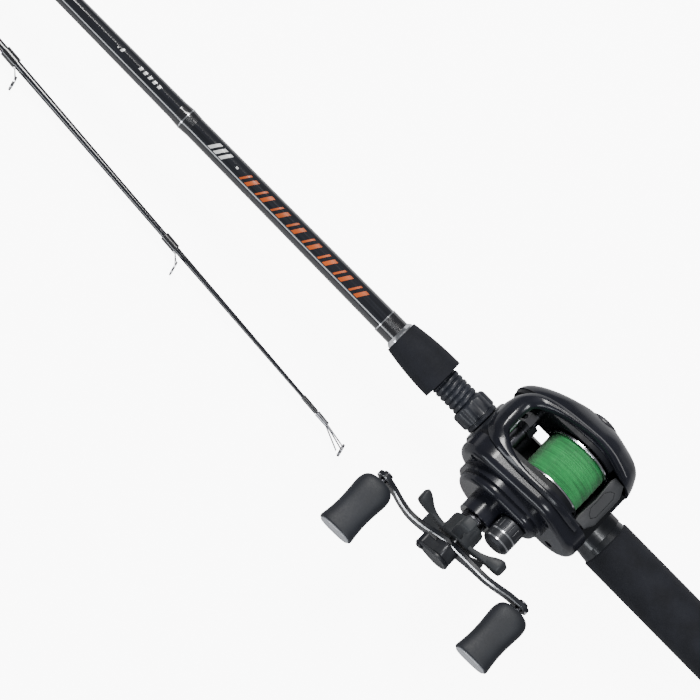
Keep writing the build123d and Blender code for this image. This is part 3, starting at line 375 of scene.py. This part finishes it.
def joined(*shapes):
    points, faces = [], []
    for more, sides in shapes:
        start = len(points)
        points += more
        faces += [tuple(n + start for n in side) for side in sides]
    return points, faces


def circle(x, y, z, r, count=64):
    """A ring of points about the cross axis."""
    return [(x + r * cos(2 * pi * n / count), y, z + r * sin(2 * pi * n / count)) for n in range(count)]


def circle_x(x, r, count):
    """A ring of points about the rod's axis."""
    return [(x, r * cos(2 * pi * n / count), r * sin(2 * pi * n / count)) for n in range(count)]


def squared(value):
    """A sine or cosine pushed outwards, so that a circle becomes a rounded rectangle."""
    return (abs(value) ** 0.78) * (1 if value > 0 else -1)


def turned_y(x, z, profile, count=64, closed=False):
    """A turned shape about the cross axis from (radius, y) points."""
    return loft([circle(x, y, z, max(r, 0.0005), count) for r, y in profile], not closed, closed)


def about_drive(points, angle):
    """Turns points about the drive shaft's axis, the front going down."""
    c, s = cos(angle), sin(angle)
    return [(DRIVE_X + (x - DRIVE_X) * c + (z - DRIVE_Z) * s, y,
             DRIVE_Z - (x - DRIVE_X) * s + (z - DRIVE_Z) * c) for x, y, z in points]


def spline(stations, steps=8):
    """Catmull-Rom points through stations of any size, steps to each stretch."""
    ends = [stations[0]] + list(stations) + [stations[-1]]
    made = []
    for k in range(1, len(ends) - 2):
        for n in range(steps):
            t = n / steps
            made.append(tuple(
                0.5 * (2 * b + (c - a) * t + (2 * a - 5 * b + 4 * c - d) * t * t
                       + (3 * b - a - 3 * c + d) * t**3)
                for a, b, c, d in zip(ends[k - 1], ends[k], ends[k + 1], ends[k + 2])))
    made.append(tuple(stations[-1]))
    return made


def resampled(points, count):
    """Equally spaced points round a closed outline."""
    length = [0.0]
    for a, b in zip(points, points[1:] + points[:1]):
        length.append(length[-1] + sqrt((b[0] - a[0]) ** 2 + (b[1] - a[1]) ** 2))
    made, k = [], 0
    for n in range(count):
        want = length[-1] * n / count
        while length[k + 1] < want:
            k += 1
        share = (want - length[k]) / (length[k + 1] - length[k])
        a, b = points[k], points[(k + 1) % len(points)]
        made.append((a[0] + share * (b[0] - a[0]), a[1] + share * (b[1] - a[1])))
    return made


def case_outline(grow, count=160):
    """The reel's side outline, a hull of three circles, as (x, z) points."""
    points = []
    for n in range(720):
        a = 2 * pi * n / 720
        x, z, r = max(CASE, key=lambda c: c[0] * cos(a) + c[1] * sin(a) + c[2])
        points.append((x + (r + grow) * cos(a), z + (r + grow) * sin(a)))
    return resampled(points, count)


def case_top(x, grow):
    """Height of the side outline at x."""
    points = case_outline(grow, 400)
    best = 0
    for a, b in zip(points, points[1:] + points[:1]):
        if min(a[0], b[0]) <= x <= max(a[0], b[0]) and a[0] != b[0]:
            best = max(best, a[1] + (x - a[0]) / (b[0] - a[0]) * (b[1] - a[1]))
    return best


# ================================ the reel's housing ============================================
def palm_shell():
    """The palm plate: a thin dome with its crown towards the rear."""
    outline = case_outline(0.5)
    wall = 1.7
    mid_x, mid_z = CASE_MIDDLE
    # y, the x of the ring's middle and its scale
    stations = [(-15.06, 169.1, 1.0), (-17.0, 168.9, 0.985), (-18.8, 168.5, 0.96), (-20.6, 167.8, 0.925),
                (-22.8, 166.6, 0.865), (-25.0, 165.0, 0.79), (-27.0, 163.6, 0.70), (-28.6, 162.8, 0.60),
                (-29.9, 162.6, 0.50), (-30.8, 162.8, 0.415), (-31.1, 163.0, 0.37)]

    def ring(y, centre, scale, inward):
        made = []
        for x, z in outline:
            dx, dz = x - mid_x, z - mid_z
            size = sqrt(dx * dx + dz * dz)
            scaled = scale * (size - inward) / size
            made.append((centre + dx * scaled, y, mid_z + dz * scaled * (0.96 + 0.04 * scale)))
        return made

    outer = [ring(*s, 0.0) for s in spline(stations, 3)]
    inner = [ring(y + (wall if y < -16.7 else 0.02), c, s, wall) for y, c, s in spline(stations, 3)]
    return loft(list(reversed(outer)) + inner)


piece("palm_shell", palm_shell(), "palm_side", "housing", "palm_plate")


def dial():
    """The brake dial: a low ribbed disc let into the crown of the palm plate."""
    x, z, count = 163.0, 28.0, 96
    rings = []
    # y, radius and the depth of the ribs' grooves
    for y, r, groove in ((-29.6, 8.2, 0), (-31.2, 8.4, 0), (-31.9, 8.3, 0.25), (-32.3, 7.8, 0.2),
                         (-32.45, 7.0, 0), (-32.2, 5.6, 0), (-32.1, 2.0, 0), (-32.1, 0.02, 0)):
        ring = []
        for n in range(count):
            a = 2 * pi * n / count
            ribbed = r - groove * (n % 4 < 2)
            ring.append((x + ribbed * cos(a), y, z + ribbed * sin(a)))
        rings.append(ring)
    return loft(rings)


piece("dial_disc", dial(), "brake_dial", "dial", "brake_dial")

# round the window from the palm side's rear: the inner edge's x, y and the outer edge's x, y
HOOD_STATIONS = [
    (140.6, -14.9, 139.8, -18.0), (146.0, -15.2, 145.0, -18.9), (154.0, -15.8, 154.0, -19.4),
    (166.0, -16.4, 167.0, -19.4), (180.0, -14.5, 184.0, -18.4), (190.3, -11.2, 196.6, -15.4),
    (194.6, -8.4, 202.3, -11.0), (196.0, -4.0, 204.6, -5.2), (196.2, 0.0, 205.0, 0.0),
    (196.0, 4.0, 204.7, 5.4), (194.8, 8.4, 202.8, 12.0), (188.4, 12.8, 197.0, 17.0),
    (178.0, 16.2, 183.0, 19.6), (166.0, 17.0, 166.0, 20.2), (154.0, 16.4, 154.0, 20.4),
    (146.0, 15.6, 145.0, 20.0), (140.6, 15.0, 139.8, 19.2)]


def hood():
    """The top cover: a raised frame round the thumb window, open to the rear."""
    tops = {}

    def height(x, grow):
        key = (round(x, 1), grow)
        if key not in tops:
            tops[key] = case_top(key[0], grow)
        return tops[key]

    def place(xi, yi, xo, yo, v, grow, lift):
        x, y = xi + (xo - xi) * v, yi + (yo - yi) * v
        cx, cz, r = CASE[0]
        if xi > cx:
            reach = r + 2.4
            a = asin(min((xi - cx) / reach, 1.0))
            b = asin(min((xo - cx) / reach, 0.985))
            turn = a + (b - a) * v
            return cx + (r + grow + lift) * sin(turn), y, cz + (r + grow + lift) * cos(turn)
        return x, y, height(x, grow) + lift

    rings = []
    for xi, yi, xo, yo in spline(HOOD_STATIONS, 6):
        section = []
        # from the window's lower edge up the bevel, over the crest and down the outer side:
        # share of the width, height over the outline and a further lift
        for v, grow, lift in ((-0.04, 0.8, -1.2), (0.0, 1.0, 0.0), (0.04, 1.5, 0.0), (0.17, 2.55, 0.0),
                              (0.21, 2.75, 0.0), (0.36, 3.05, 0.0), (0.58, 3.1, 0.0), (0.63, 3.0, 0.0),
                              (0.80, 2.3, 0.0), (0.93, 1.75, 0.0), (0.98, 1.45, 0.0), (1.0, 1.1, 0.0),
                              (0.96, 0.8, 0.0), (0.7, 0.8, 0.0), (0.4, 0.8, 0.0), (0.1, 0.8, 0.0)):
            section.append(place(xi, yi, xo, yo, v, grow, lift if abs(yi) < 15.0 else 0.0))
        rings.append(section)
    return loft(rings)


piece("hood", hood(), "rod_and_reel", "housing", "top_cover", limit=17)


# ================================ the spool =====================================================
def wound_line():
    """The line on the spool, with a ridge for each turn and a slow rise in the middle."""
    half, turns = 10.55, 34
    low, high = span("spool_line")
    r0 = (high.x - low.x) / 2
    rings = [circle(SPOOL_X, -half, SPOOL_Z, r0 - 1.4, 128)]
    for k in range(turns * 4 + 1):
        y = -half + 2 * half * k / (turns * 4)
        ring = []
        for n in range(128):
            a = 2 * pi * n / 128
            lay = 0.15 * sin(2 * pi * (k / 4) + a) + 0.04 * sin(2 * pi * k / 31 + 2 * a)
            rise = 0.10 * (1 - (y / half) ** 2) - 0.28 * max(0, abs(y) - 9.6)
            r = r0 - 0.2 + lay + rise
            ring.append((SPOOL_X + r * cos(a), y, SPOOL_Z + r * sin(a)))
        rings.append(ring)
    rings.append(circle(SPOOL_X, half, SPOOL_Z, r0 - 1.4, 128))
    return loft(rings)


piece("wound_line", wound_line(), "spool", "braid", "spool_line", limit=70)


def rim(y0, y1):
    """A bright turned edge on a spool flange."""
    low, high = span("spool")
    r = (high.x - low.x) / 2
    profile = [(r - 0.9, y0 - 0.05), (r - 0.15, y0 - 0.05), (r + 0.08, y0 + 0.2),
               (r + 0.08, y1 - 0.2), (r - 0.15, y1 + 0.05), (r - 0.9, y1 + 0.05)]
    return turned_y(SPOOL_X, SPOOL_Z, profile, 128, True)


piece("spool_rims", joined(rim(-11.7, -10.6), rim(10.6, 11.7)), "spool", "bright_trim")


# ================================ the thumb bar =================================================
def even(corners, count):
    """Equally many points along each side of a polygon, corners kept."""
    made = []
    for a, b in zip(corners, corners[1:] + corners[:1]):
        for n in range(count):
            made.append(tuple(p + (q - p) * n / count for p, q in zip(a, b)))
    return made


def thumb_plate():
    """The thumb bar: chamfered corners, a pressed lozenge and a turned-down rear lip."""
    low, high = span("thumb_bar")
    x0, x1 = low.x, high.x
    half = 14.4

    def top(x, y):
        return high.z - 0.35 - 0.30 * (x1 - x) ** 1.15 * 0.35 - 0.0012 * y * y

    outer = [(x0 + 2.6, -half + 0.2), (x1 - 0.6, -half), (x1, -half + 2.5), (x1 - 0.9, 0.0), (x1, half - 2.5),
             (x1 - 0.6, half), (x0 + 2.6, half - 0.2), (x0, half - 5.5), (x0, 0.0), (x0, -half + 5.5)]
    mark = [(x0 + 3.6, -8.6), (x0 + 5.6, -7.8), (x0 + 7.2, -5.2), (x0 + 7.2, 0.0), (x0 + 7.2, 5.2),
            (x0 + 5.6, 7.8), (x0 + 3.6, 8.6), (x0 + 2.1, 6.2), (x0 + 2.1, 0.0), (x0 + 2.1, -6.2)]

    def ring(corners, shrink, drop):
        cx = (x0 + x1) / 2
        made = []
        for x, y in even(corners, 5):
            x, y = cx + (x - cx) * (1 - shrink / 4.5), y * (1 - shrink / half)
            made.append((x, y, top(x, y) - drop))
        return made

    return loft([ring(outer, 0.9, 3.4), ring(outer, 0.25, 3.2), ring(outer, 0.0, 2.6), ring(outer, 0.0, 0.7),
                 ring(outer, 0.18, 0.22), ring(outer, 0.6, 0.0), ring(mark, 0.0, 0.0), ring(mark, 0.05, 0.45),
                 ring(mark, 0.42, 0.45), ring(mark, 0.5, 0.05), ring(mark, 0.62, 0.0)])


piece("thumb_plate", thumb_plate(), "thumb", "thumb_bar", "thumb_bar", limit=30)


# ================================ the seat's thread and nut =====================================
def rear_part(node, x):
    """A copy of a CAD node's mesh behind x, closed there."""
    bm = bmesh.new()
    bm.from_mesh(frame["nodes"][node].data)
    bmesh.ops.remove_doubles(bm, verts=bm.verts, dist=1e-7)
    cut = bmesh.ops.bisect_plane(bm, geom=bm.verts[:] + bm.edges[:] + bm.faces[:], plane_co=(x * MM, 0, 0),
                                 plane_no=(1, 0, 0), clear_outer=True)
    edges = [e for e in cut["geom_cut"] if isinstance(e, bmesh.types.BMEdge)]
    bmesh.ops.triangle_fill(bm, use_beauty=True, edges=edges)
    points = [tuple(c / MM for c in v.co) for v in bm.verts]
    bm.verts.index_update()
    faces = [tuple(v.index for v in f.verts) for f in bm.faces]
    bm.free()
    return points, faces


def thread():
    """The seat's threaded end: a rounded helical ridge on a tube."""
    crest, root, bore = 7.62, 6.85, 6.32
    count, steps = 72, 240
    rings = [circle_x(THREAD_START, bore, count)]
    for k in range(steps + 1):
        x = THREAD_START + (THREAD_END - THREAD_START) * k / steps
        fade = min(1, (x - THREAD_START) / 2, (THREAD_END - x) / 0.8)
        ring = []
        for n in range(count):
            a = 2 * pi * n / count
            phase = (x / THREAD_PITCH - a / (2 * pi)) % 1
            ridge = min(1.0, max(0.0, 2.6 * (0.5 - abs(phase - 0.5))))
            r = root + (crest - root) * (1 - (1 - ridge) ** 2) * fade
            ring.append((x, r * cos(a), r * sin(a)))
        rings.append(ring)
    rings.append(circle_x(THREAD_END, bore, count))
    return loft(rings, False, True)


piece("seat_body", rear_part("reel_seat", THREAD_START - 0.01), "rod_and_reel", "seat", "reel_seat")
piece("seat_thread", thread(), "rod_and_reel", "lock_nut", limit=60)


def nut():
    """The lock nut: eight grip flats with rounded corners, a collar at the rear and an open bore."""
    low, high = span("lock_nut")
    a0, a1 = low.x, high.x
    flat, bore, count = 9.15, 7.72, 96
    # x, radius and how far the flats show
    stations = [(a0 + 0.15, 8.6, 0.0), (a0 + 0.5, 9.0, 0.0), (a0 + 1.8, 9.1, 0.0), (a0 + 2.0, 8.75, 0.0),
                (a0 + 2.4, 8.75, 0.0), (a0 + 2.7, 9.3, 0.4), (a0 + 3.4, 9.75, 1.0), (a1 - 1.8, 9.75, 1.0),
                (a1 - 0.9, 9.4, 1.0), (a1 - 0.35, 8.9, 0.5), (a1 - 0.1, 8.5, 0.0)]
    rings = []
    for x, r, share in stations:
        ring = []
        for n in range(count):
            a = 2 * pi * n / count
            near = (a + pi / 8) % (pi / 4) - pi / 8
            faceted = min(flat / cos(near), r)
            radius = r + (faceted - r) * share
            # a finger groove down the middle of each flat
            radius -= share * 0.35 * max(0.0, 1 - (near / 0.11) ** 2)
            ring.append((x, radius * cos(a), radius * sin(a)))
        rings.append(ring)
    rings += [circle_x(x, bore, count) for x in (a1 - 0.1, a0 + 0.15)]
    return loft(rings, False, True)


piece("seat_nut", nut(), "lock_nut", "lock_nut", "lock_nut", limit=25)


# ================================ the handle ====================================================
def handle_bar():
    """The arm: bowed outwards, swept the opposite way in each half, with cut edges."""
    arm_y, thick = 58.2, 1.4
    # distance from the shaft, sweep, half width and bow
    plan = [(0, 0, 6.2, 2.5), (6, -1.2, 5.6, 2.75), (12, -3.2, 4.6, 3.1), (18, -4.6, 4.1, 3.45),
            (24, -5.0, 3.9, 3.4), (30, -4.3, 3.8, 2.4), (36, -2.6, 3.9, 1.0),
            (ARM_REACH - 1, -0.1, 4.2, 0.15), (ARM_REACH + 2.2, 0, 3.5, 0.1),
            (ARM_REACH + 3.9, 0, 1.9, 0.1), (ARM_REACH + 4.3, 0, 0.7, 0.1)]
    line = [(-a, -b, w, y) for a, b, w, y in reversed(plan[1:])] + [(a, b, w, y) for a, b, w, y in plan]
    rings = []
    for a, b, w, y in spline(line, 5):
        w = max(w, 0.4)
        t = thick if w > 2.2 else thick * (0.55 + 0.45 * w / 2.2)
        section = [(w - 0.6, t), (w, t - 0.55), (w, -t + 0.5), (w - 0.5, -t), (-w + 0.5, -t), (-w, -t + 0.5),
                   (-w, t - 0.55), (-w + 0.6, t)]
        rings.append([(DRIVE_X + a, arm_y + y + v, DRIVE_Z + b + u) for u, v in section])
    points, faces = loft(rings)
    return about_drive(points, ARM_TURN), faces


BAR_SIDES, BAR_CAPS = 8, 2
bar_shape = handle_bar()
# the two chamfers on the outer side are cut bright
piece("handle_bar", bar_shape, "handle", "dark_metal", "handle_arm", look=ARM_BLACK, second=POLISHED,
      pick=lambda k: k < len(bar_shape[1]) - BAR_CAPS and k % BAR_SIDES in (0, 6), limit=28)


def knob(way):
    """A paddle knob: broad and flat, waisted in the middle, domed towards the arm."""
    x = DRIVE_X + way * ARM_REACH
    # distance from the inner end, half width and half thickness
    stations = [(0.0, 3.4, 3.2), (0.15, 4.6, 3.9), (0.7, 6.3, 4.7), (1.7, 7.7, 5.3), (3.2, 8.7, 5.75),
                (5.4, 9.25, 6.0), (8.0, 9.35, 6.0), (12.0, 9.05, 5.8), (17.0, 8.75, 5.6), (22.0, 8.75, 5.6),
                (26.5, 9.1, 5.75), (29.6, 9.5, 5.95), (30.9, 9.62, 6.0), (31.4, 9.5, 5.9), (31.6, 9.2, 5.6),
                (31.55, 8.7, 5.1)]
    rings = []
    for y, w, t in spline(stations, 3):
        ring = []
        for n in range(72):
            a = 2 * pi * n / 72
            ring.append((x + squared(cos(a)) * w, KNOB_Y + y, DRIVE_Z + squared(sin(a)) * t))
        rings.append(ring)
    bore = [circle(x, KNOB_Y + y, DRIVE_Z, KNOB_BORE, 72) for y in (29.2, 0.0)]
    points, faces = loft(rings + bore, False, True)
    return about_drive(points, ARM_TURN), faces


def knob_cap(way):
    """The pale plate let into a knob's outer end."""
    x, y = DRIVE_X + way * ARM_REACH, 93.5
    rings = []
    # depth from the outer face, half width and half thickness
    for depth, w, t in ((-0.9, 8.5, 4.9), (-0.25, 8.6, 5.0), (-0.02, 8.4, 4.8), (0.0, 7.6, 4.1),
                        (-0.18, 7.2, 3.7), (-0.2, 3.0, 1.6), (-0.2, 0.05, 0.05)):
        ring = []
        for n in range(72):
            a = 2 * pi * n / 72
            ring.append((x + squared(cos(a)) * w, y + depth, DRIVE_Z + squared(sin(a)) * t))
        rings.append(ring)
    points, faces = loft(rings)
    return about_drive(points, ARM_TURN), faces


for label, way in (("rear", -1), ("front", 1)):
    piece(f"grip_{label}", knob(way), f"knob_{label}", "knob_rubber", f"knob_{label}")
    piece(f"grip_{label}_end", knob_cap(way), f"knob_{label}", "knob_caps", f"knob_{label}_cap")


def star():
    """The star wheel: a knurled hub and five curved paddle arms."""
    top = 57.8
    hub = [(2.62, 46.4), (7.4, 46.4), (8.5, 47.0), (8.8, 48.0), (8.8, 53.0), (9.3, 54.6), (9.6, 55.6),
           (9.6, top - 0.5), (9.1, top), (2.62, top)]
    rings = []
    for r, y in hub:
        ring = []
        for n in range(120):
            a = 2 * pi * n / 120
            groove = 0.22 if 48.0 <= y <= 53.0 and n % 6 in (0, 1) else 0.0
            ring.append((DRIVE_X + (r - groove) * cos(a), y, DRIVE_Z + (r - groove) * sin(a)))
        rings.append(ring)
    shapes = [loft(rings, False, True)]
    # reach, sideways sweep, half width, height below the top, half thickness
    plan = [(7.0, 0.0, 3.3, 1.4, 1.2), (11.0, -0.3, 2.8, 1.5, 1.2), (15.0, -0.2, 2.6, 1.9, 1.35),
            (18.5, 0.4, 2.8, 2.5, 1.8), (21.5, 1.2, 3.2, 3.3, 2.6), (24.0, 1.9, 3.4, 3.9, 3.1),
            (25.8, 2.4, 3.3, 4.2, 3.1), (26.5, 2.6, 2.8, 4.4, 2.7), (26.8, 2.7, 2.2, 4.5, 2.1)]
    for k in range(5):
        turn = radians(90 + 72 * k)
        c, s = cos(turn), sin(turn)
        limb = []
        for a, b, w, drop, t in spline(plan, 4):
            y = top - drop
            section = [(w - 0.6, t), (w - 0.12, t * 0.7), (w, 0), (w - 0.12, -t * 0.7), (w - 0.6, -t),
                       (-w + 0.6, -t), (-w + 0.12, -t * 0.7), (-w, 0), (-w + 0.12, t * 0.7), (-w + 0.6, t),
                       (0, t)]
            limb.append([(DRIVE_X + a * c - (b + u) * s, y + v, DRIVE_Z + a * s + (b + u) * c)
                         for u, v in section])
        shapes.append(loft(limb))
    points, faces = joined(*shapes)
    return about_drive(points, STAR_TURN), faces


piece("star_wheel", star(), "star", "dark_metal", "star_drag", look=STAR_BLACK, limit=32)


def nut_block():
    """The handle nut: six flats with rounded corners and a dished face."""
    rings = []
    for y, r, share in ((62.5, 6.5, 0.4), (62.9, 7.0, 1.0), (67.9, 7.0, 1.0), (68.5, 6.6, 0.7),
                        (68.8, 5.9, 0.3)):
        ring = []
        for n in range(72):
            a = 2 * pi * n / 72
            near = (a + pi / 6) % (pi / 3) - pi / 6
            faceted = min(6.15 / cos(near), 6.9)
            radius = r + (min(faceted, r) - r) * share
            ring.append((DRIVE_X + radius * cos(a), y, DRIVE_Z + radius * sin(a)))
        rings.append(ring)
    rings += [circle(DRIVE_X, y, DRIVE_Z, r, 72) for y, r in ((68.8, 2.6), (65.25, 2.55), (62.5, 2.55))]
    points, faces = loft(rings, False, True)
    return about_drive(points, ARM_TURN), faces


piece("handle_nut_block", nut_block(), "handle", "dark_metal", "handle_nut", limit=28)


def retainer():
    """The nut's retainer: a dished plate with its screw to one side."""
    shapes = []

    def hull(grow, y):
        points = []
        for n in range(180):
            a = 2 * pi * n / 180
            x, r = max(((0.0, 6.4), (9.8, 3.0)), key=lambda c: c[0] * cos(a) + c[1])
            points.append((x + (r + grow) * cos(a), (r + grow) * sin(a)))
        return [(DRIVE_X + x, y, DRIVE_Z + z) for x, z in resampled(points, 96)]

    shapes.append(loft([hull(-0.9, 64.0), hull(-0.45, 64.5), hull(-0.45, 68.6), hull(-0.1, 68.84),
                        hull(0, 69.1), hull(0, 69.9), hull(-0.35, 70.3), hull(-0.9, 70.4),
                        hull(-1.5, 70.15), hull(-2.4, 70.15)]))
    x = DRIVE_X + 10.1
    shapes.append(turned_y(x, DRIVE_Z, [(2.5, 63.85), (2.6, 64.1), (2.6, 68.9), (2.2, 69.2)], 40))
    shapes.append(turned_y(x, DRIVE_Z, [(1.9, 70.1), (1.9, 70.9), (1.6, 71.2), (1.0, 71.2), (0.9, 70.6)], 40))
    points, faces = joined(*shapes)
    return about_drive(points, ARM_TURN), faces


piece("retainer_plate", retainer(), "handle", "seat", "nut_retainer", look=ARM_BLACK, limit=35)


# ================================ the printed marks =============================================
def blank_radius(x):
    """Outer radius of the butt section's blank at x."""
    low, high = 262.0, 745.0
    share = min(max((x - low) / (high - low), 0), 1)
    return 6.3 + share * (3.45 - 6.3)


def mark(x0, x1, a0, a1, slant, lift=0.07):
    """A slanted patch on the blank, from x to x and from angle to angle off the top, in degrees."""
    points, faces = [], []
    across, along = 8, 3
    for layer in (lift, 0.01):
        for i in range(along + 1):
            for k in range(across + 1):
                angle = radians(a0 + (a1 - a0) * k / across)
                x = x0 + (x1 - x0) * i / along + slant * k / across
                r = blank_radius(x) + layer
                points.append((x, r * sin(angle), r * cos(angle)))
    row, half = across + 1, (across + 1) * (along + 1)
    for i in range(along):
        for k in range(across):
            n = i * row + k
            faces.append((n, n + 1, n + row + 1, n + row))
            faces.append((half + n, half + n + row, half + n + row + 1, half + n + 1))
    edge = list(range(row)) + [row * i + across for i in range(1, along + 1)]
    edge += [along * row + k for k in range(across - 1, -1, -1)] + [row * i for i in range(along - 1, 0, -1)]
    for a, b in zip(edge, edge[1:] + edge[:1]):
        faces.append((a, half + a, half + b, b))
    return points, faces


# where the lettering of the photo stands, plain bars: two slanted groups, a dot and two small groups
ORANGE_START, ORANGE_STEP = 284.5, 10.6
PALE_START, PALE_STEP = 376.6, 3.6
DOT_START = 371.0
SMALL_START, SMALL_STEP = 424.0, 3.1
dashes = []
for k in range(8):
    at = ORANGE_START + ORANGE_STEP * k
    dashes += [mark(at, at + 2.4, -16, 36, 3.4), mark(at + 4.6, at + 5.8, -16, 36, 3.4)]
piece("orange_marks", joined(*dashes), "rod_and_reel", "blank", look=ORANGE)
white = []
for k in range(3):
    at = PALE_START + PALE_STEP * k
    white.append(mark(at, at + 2.0, -18, 36, 3.4))
white.append(mark(DOT_START, DOT_START + 1.4, 4, 14, 0))
for k in range(5):
    at = SMALL_START + SMALL_STEP * k
    white.append(mark(at, at + 1.6, -8, 12, 0.5))
white += [mark(449.0, 450.4, -8, 12, 0.5), mark(452.0, 452.8, 4, 12, 0.0)]
piece("white_marks", joined(*white), "rod_and_reel", "blank", look=WHITE)

# ================================ floor, lights and camera ======================================
FLOOR_HALF = 14.0
FLOOR_GAP = 0.0008
WHITE_GLOW = 9.0
SKY_LIGHT = 0.17
low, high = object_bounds()
floor_mesh = bpy.data.meshes.new("floor")
corners = [(x * FLOOR_HALF, y * FLOOR_HALF) for x, y in ((-1, -1), (1, -1), (1, 1), (-1, 1))]
floor_mesh.from_pydata([(x, y, low.z - FLOOR_GAP) for x, y in corners], [], [(0, 1, 2, 3)])
floor = bpy.data.objects.new("floor", floor_mesh)
scene.collection.objects.link(floor)
paint = Nodes("floor_paint", (0.50, 0.50, 0.51), 0.9, level=0.1)
paint.tint(paint.noise(2, 2), (0.46, 0.46, 0.47), (0.52, 0.52, 0.53))
paint.shader.inputs["Emission Color"].default_value = (1.0, 1.0, 1.0, 1)
# seen directly the floor is white, and it lights little
seen_or_not(paint.tree, 0.0, WHITE_GLOW, paint.shader.inputs["Emission Strength"])
floor_mesh.materials.append(paint.made)

world = bpy.data.worlds.new("studio")
scene.world = world
world.use_nodes = True
world.node_tree.nodes["Background"].inputs["Color"].default_value = (0.93, 0.96, 1.0, 1)
seen_or_not(world.node_tree, SKY_LIGHT, WHITE_GLOW, world.node_tree.nodes["Background"].inputs["Strength"])


def softbox(name, place, target, size, power, colour=(1, 1, 1)):
    """A rectangular light aimed at a point, metres and watts."""
    data = bpy.data.lights.new(name, "AREA")
    data.shape = "RECTANGLE"
    data.size, data.size_y = size
    data.energy, data.color = power, colour
    light = bpy.data.objects.new(name, data)
    light.location = place
    light.rotation_mode = "QUATERNION"
    light.rotation_quaternion = (Vector(target) - Vector(place)).to_track_quat("-Z", "Y")
    scene.collection.objects.link(light)


AIM = (0.2, 0.0, 0.0)
softbox("key", (0.75, -0.55, 1.15), AIM, (0.35, 0.5), 22, (1.0, 0.99, 0.97))
softbox("over", (-0.35, 0.25, 1.6), AIM, (0.5, 0.5), 16, (0.96, 0.98, 1.0))
softbox("edge", (0.4, 1.45, 0.45), AIM, (1.6, 0.3), 14, (0.92, 0.96, 1.0))

TILT = radians(16.5)
OUT = Vector((0, sin(TILT), cos(TILT)))
SIDEWAYS = Vector((0, cos(TILT), -sin(TILT)))
ALONG = Vector((1, 0, 0))
# cosine and sine of the rod's slope in the picture
ROLL_COS, ROLL_SIN = 0.7017, 0.7125
RIGHT = -ROLL_COS * ALONG - ROLL_SIN * SIDEWAYS
UP = ROLL_SIN * ALONG - ROLL_COS * SIDEWAYS
TARGET = Vector((0.2723, 0.0209, -0.0062))
DISTANCE = 1.24
camera_data = bpy.data.cameras.new("camera")
camera_data.lens, camera_data.sensor_width = 133.4, 36.0
camera_data.clip_start, camera_data.clip_end = 0.05, 60.0
camera = bpy.data.objects.new("camera", camera_data)
pose = Matrix((RIGHT, UP, OUT)).transposed().to_4x4()
pose.translation = TARGET + DISTANCE * OUT
camera.matrix_world = pose
scene.collection.objects.link(camera)
scene.camera = camera
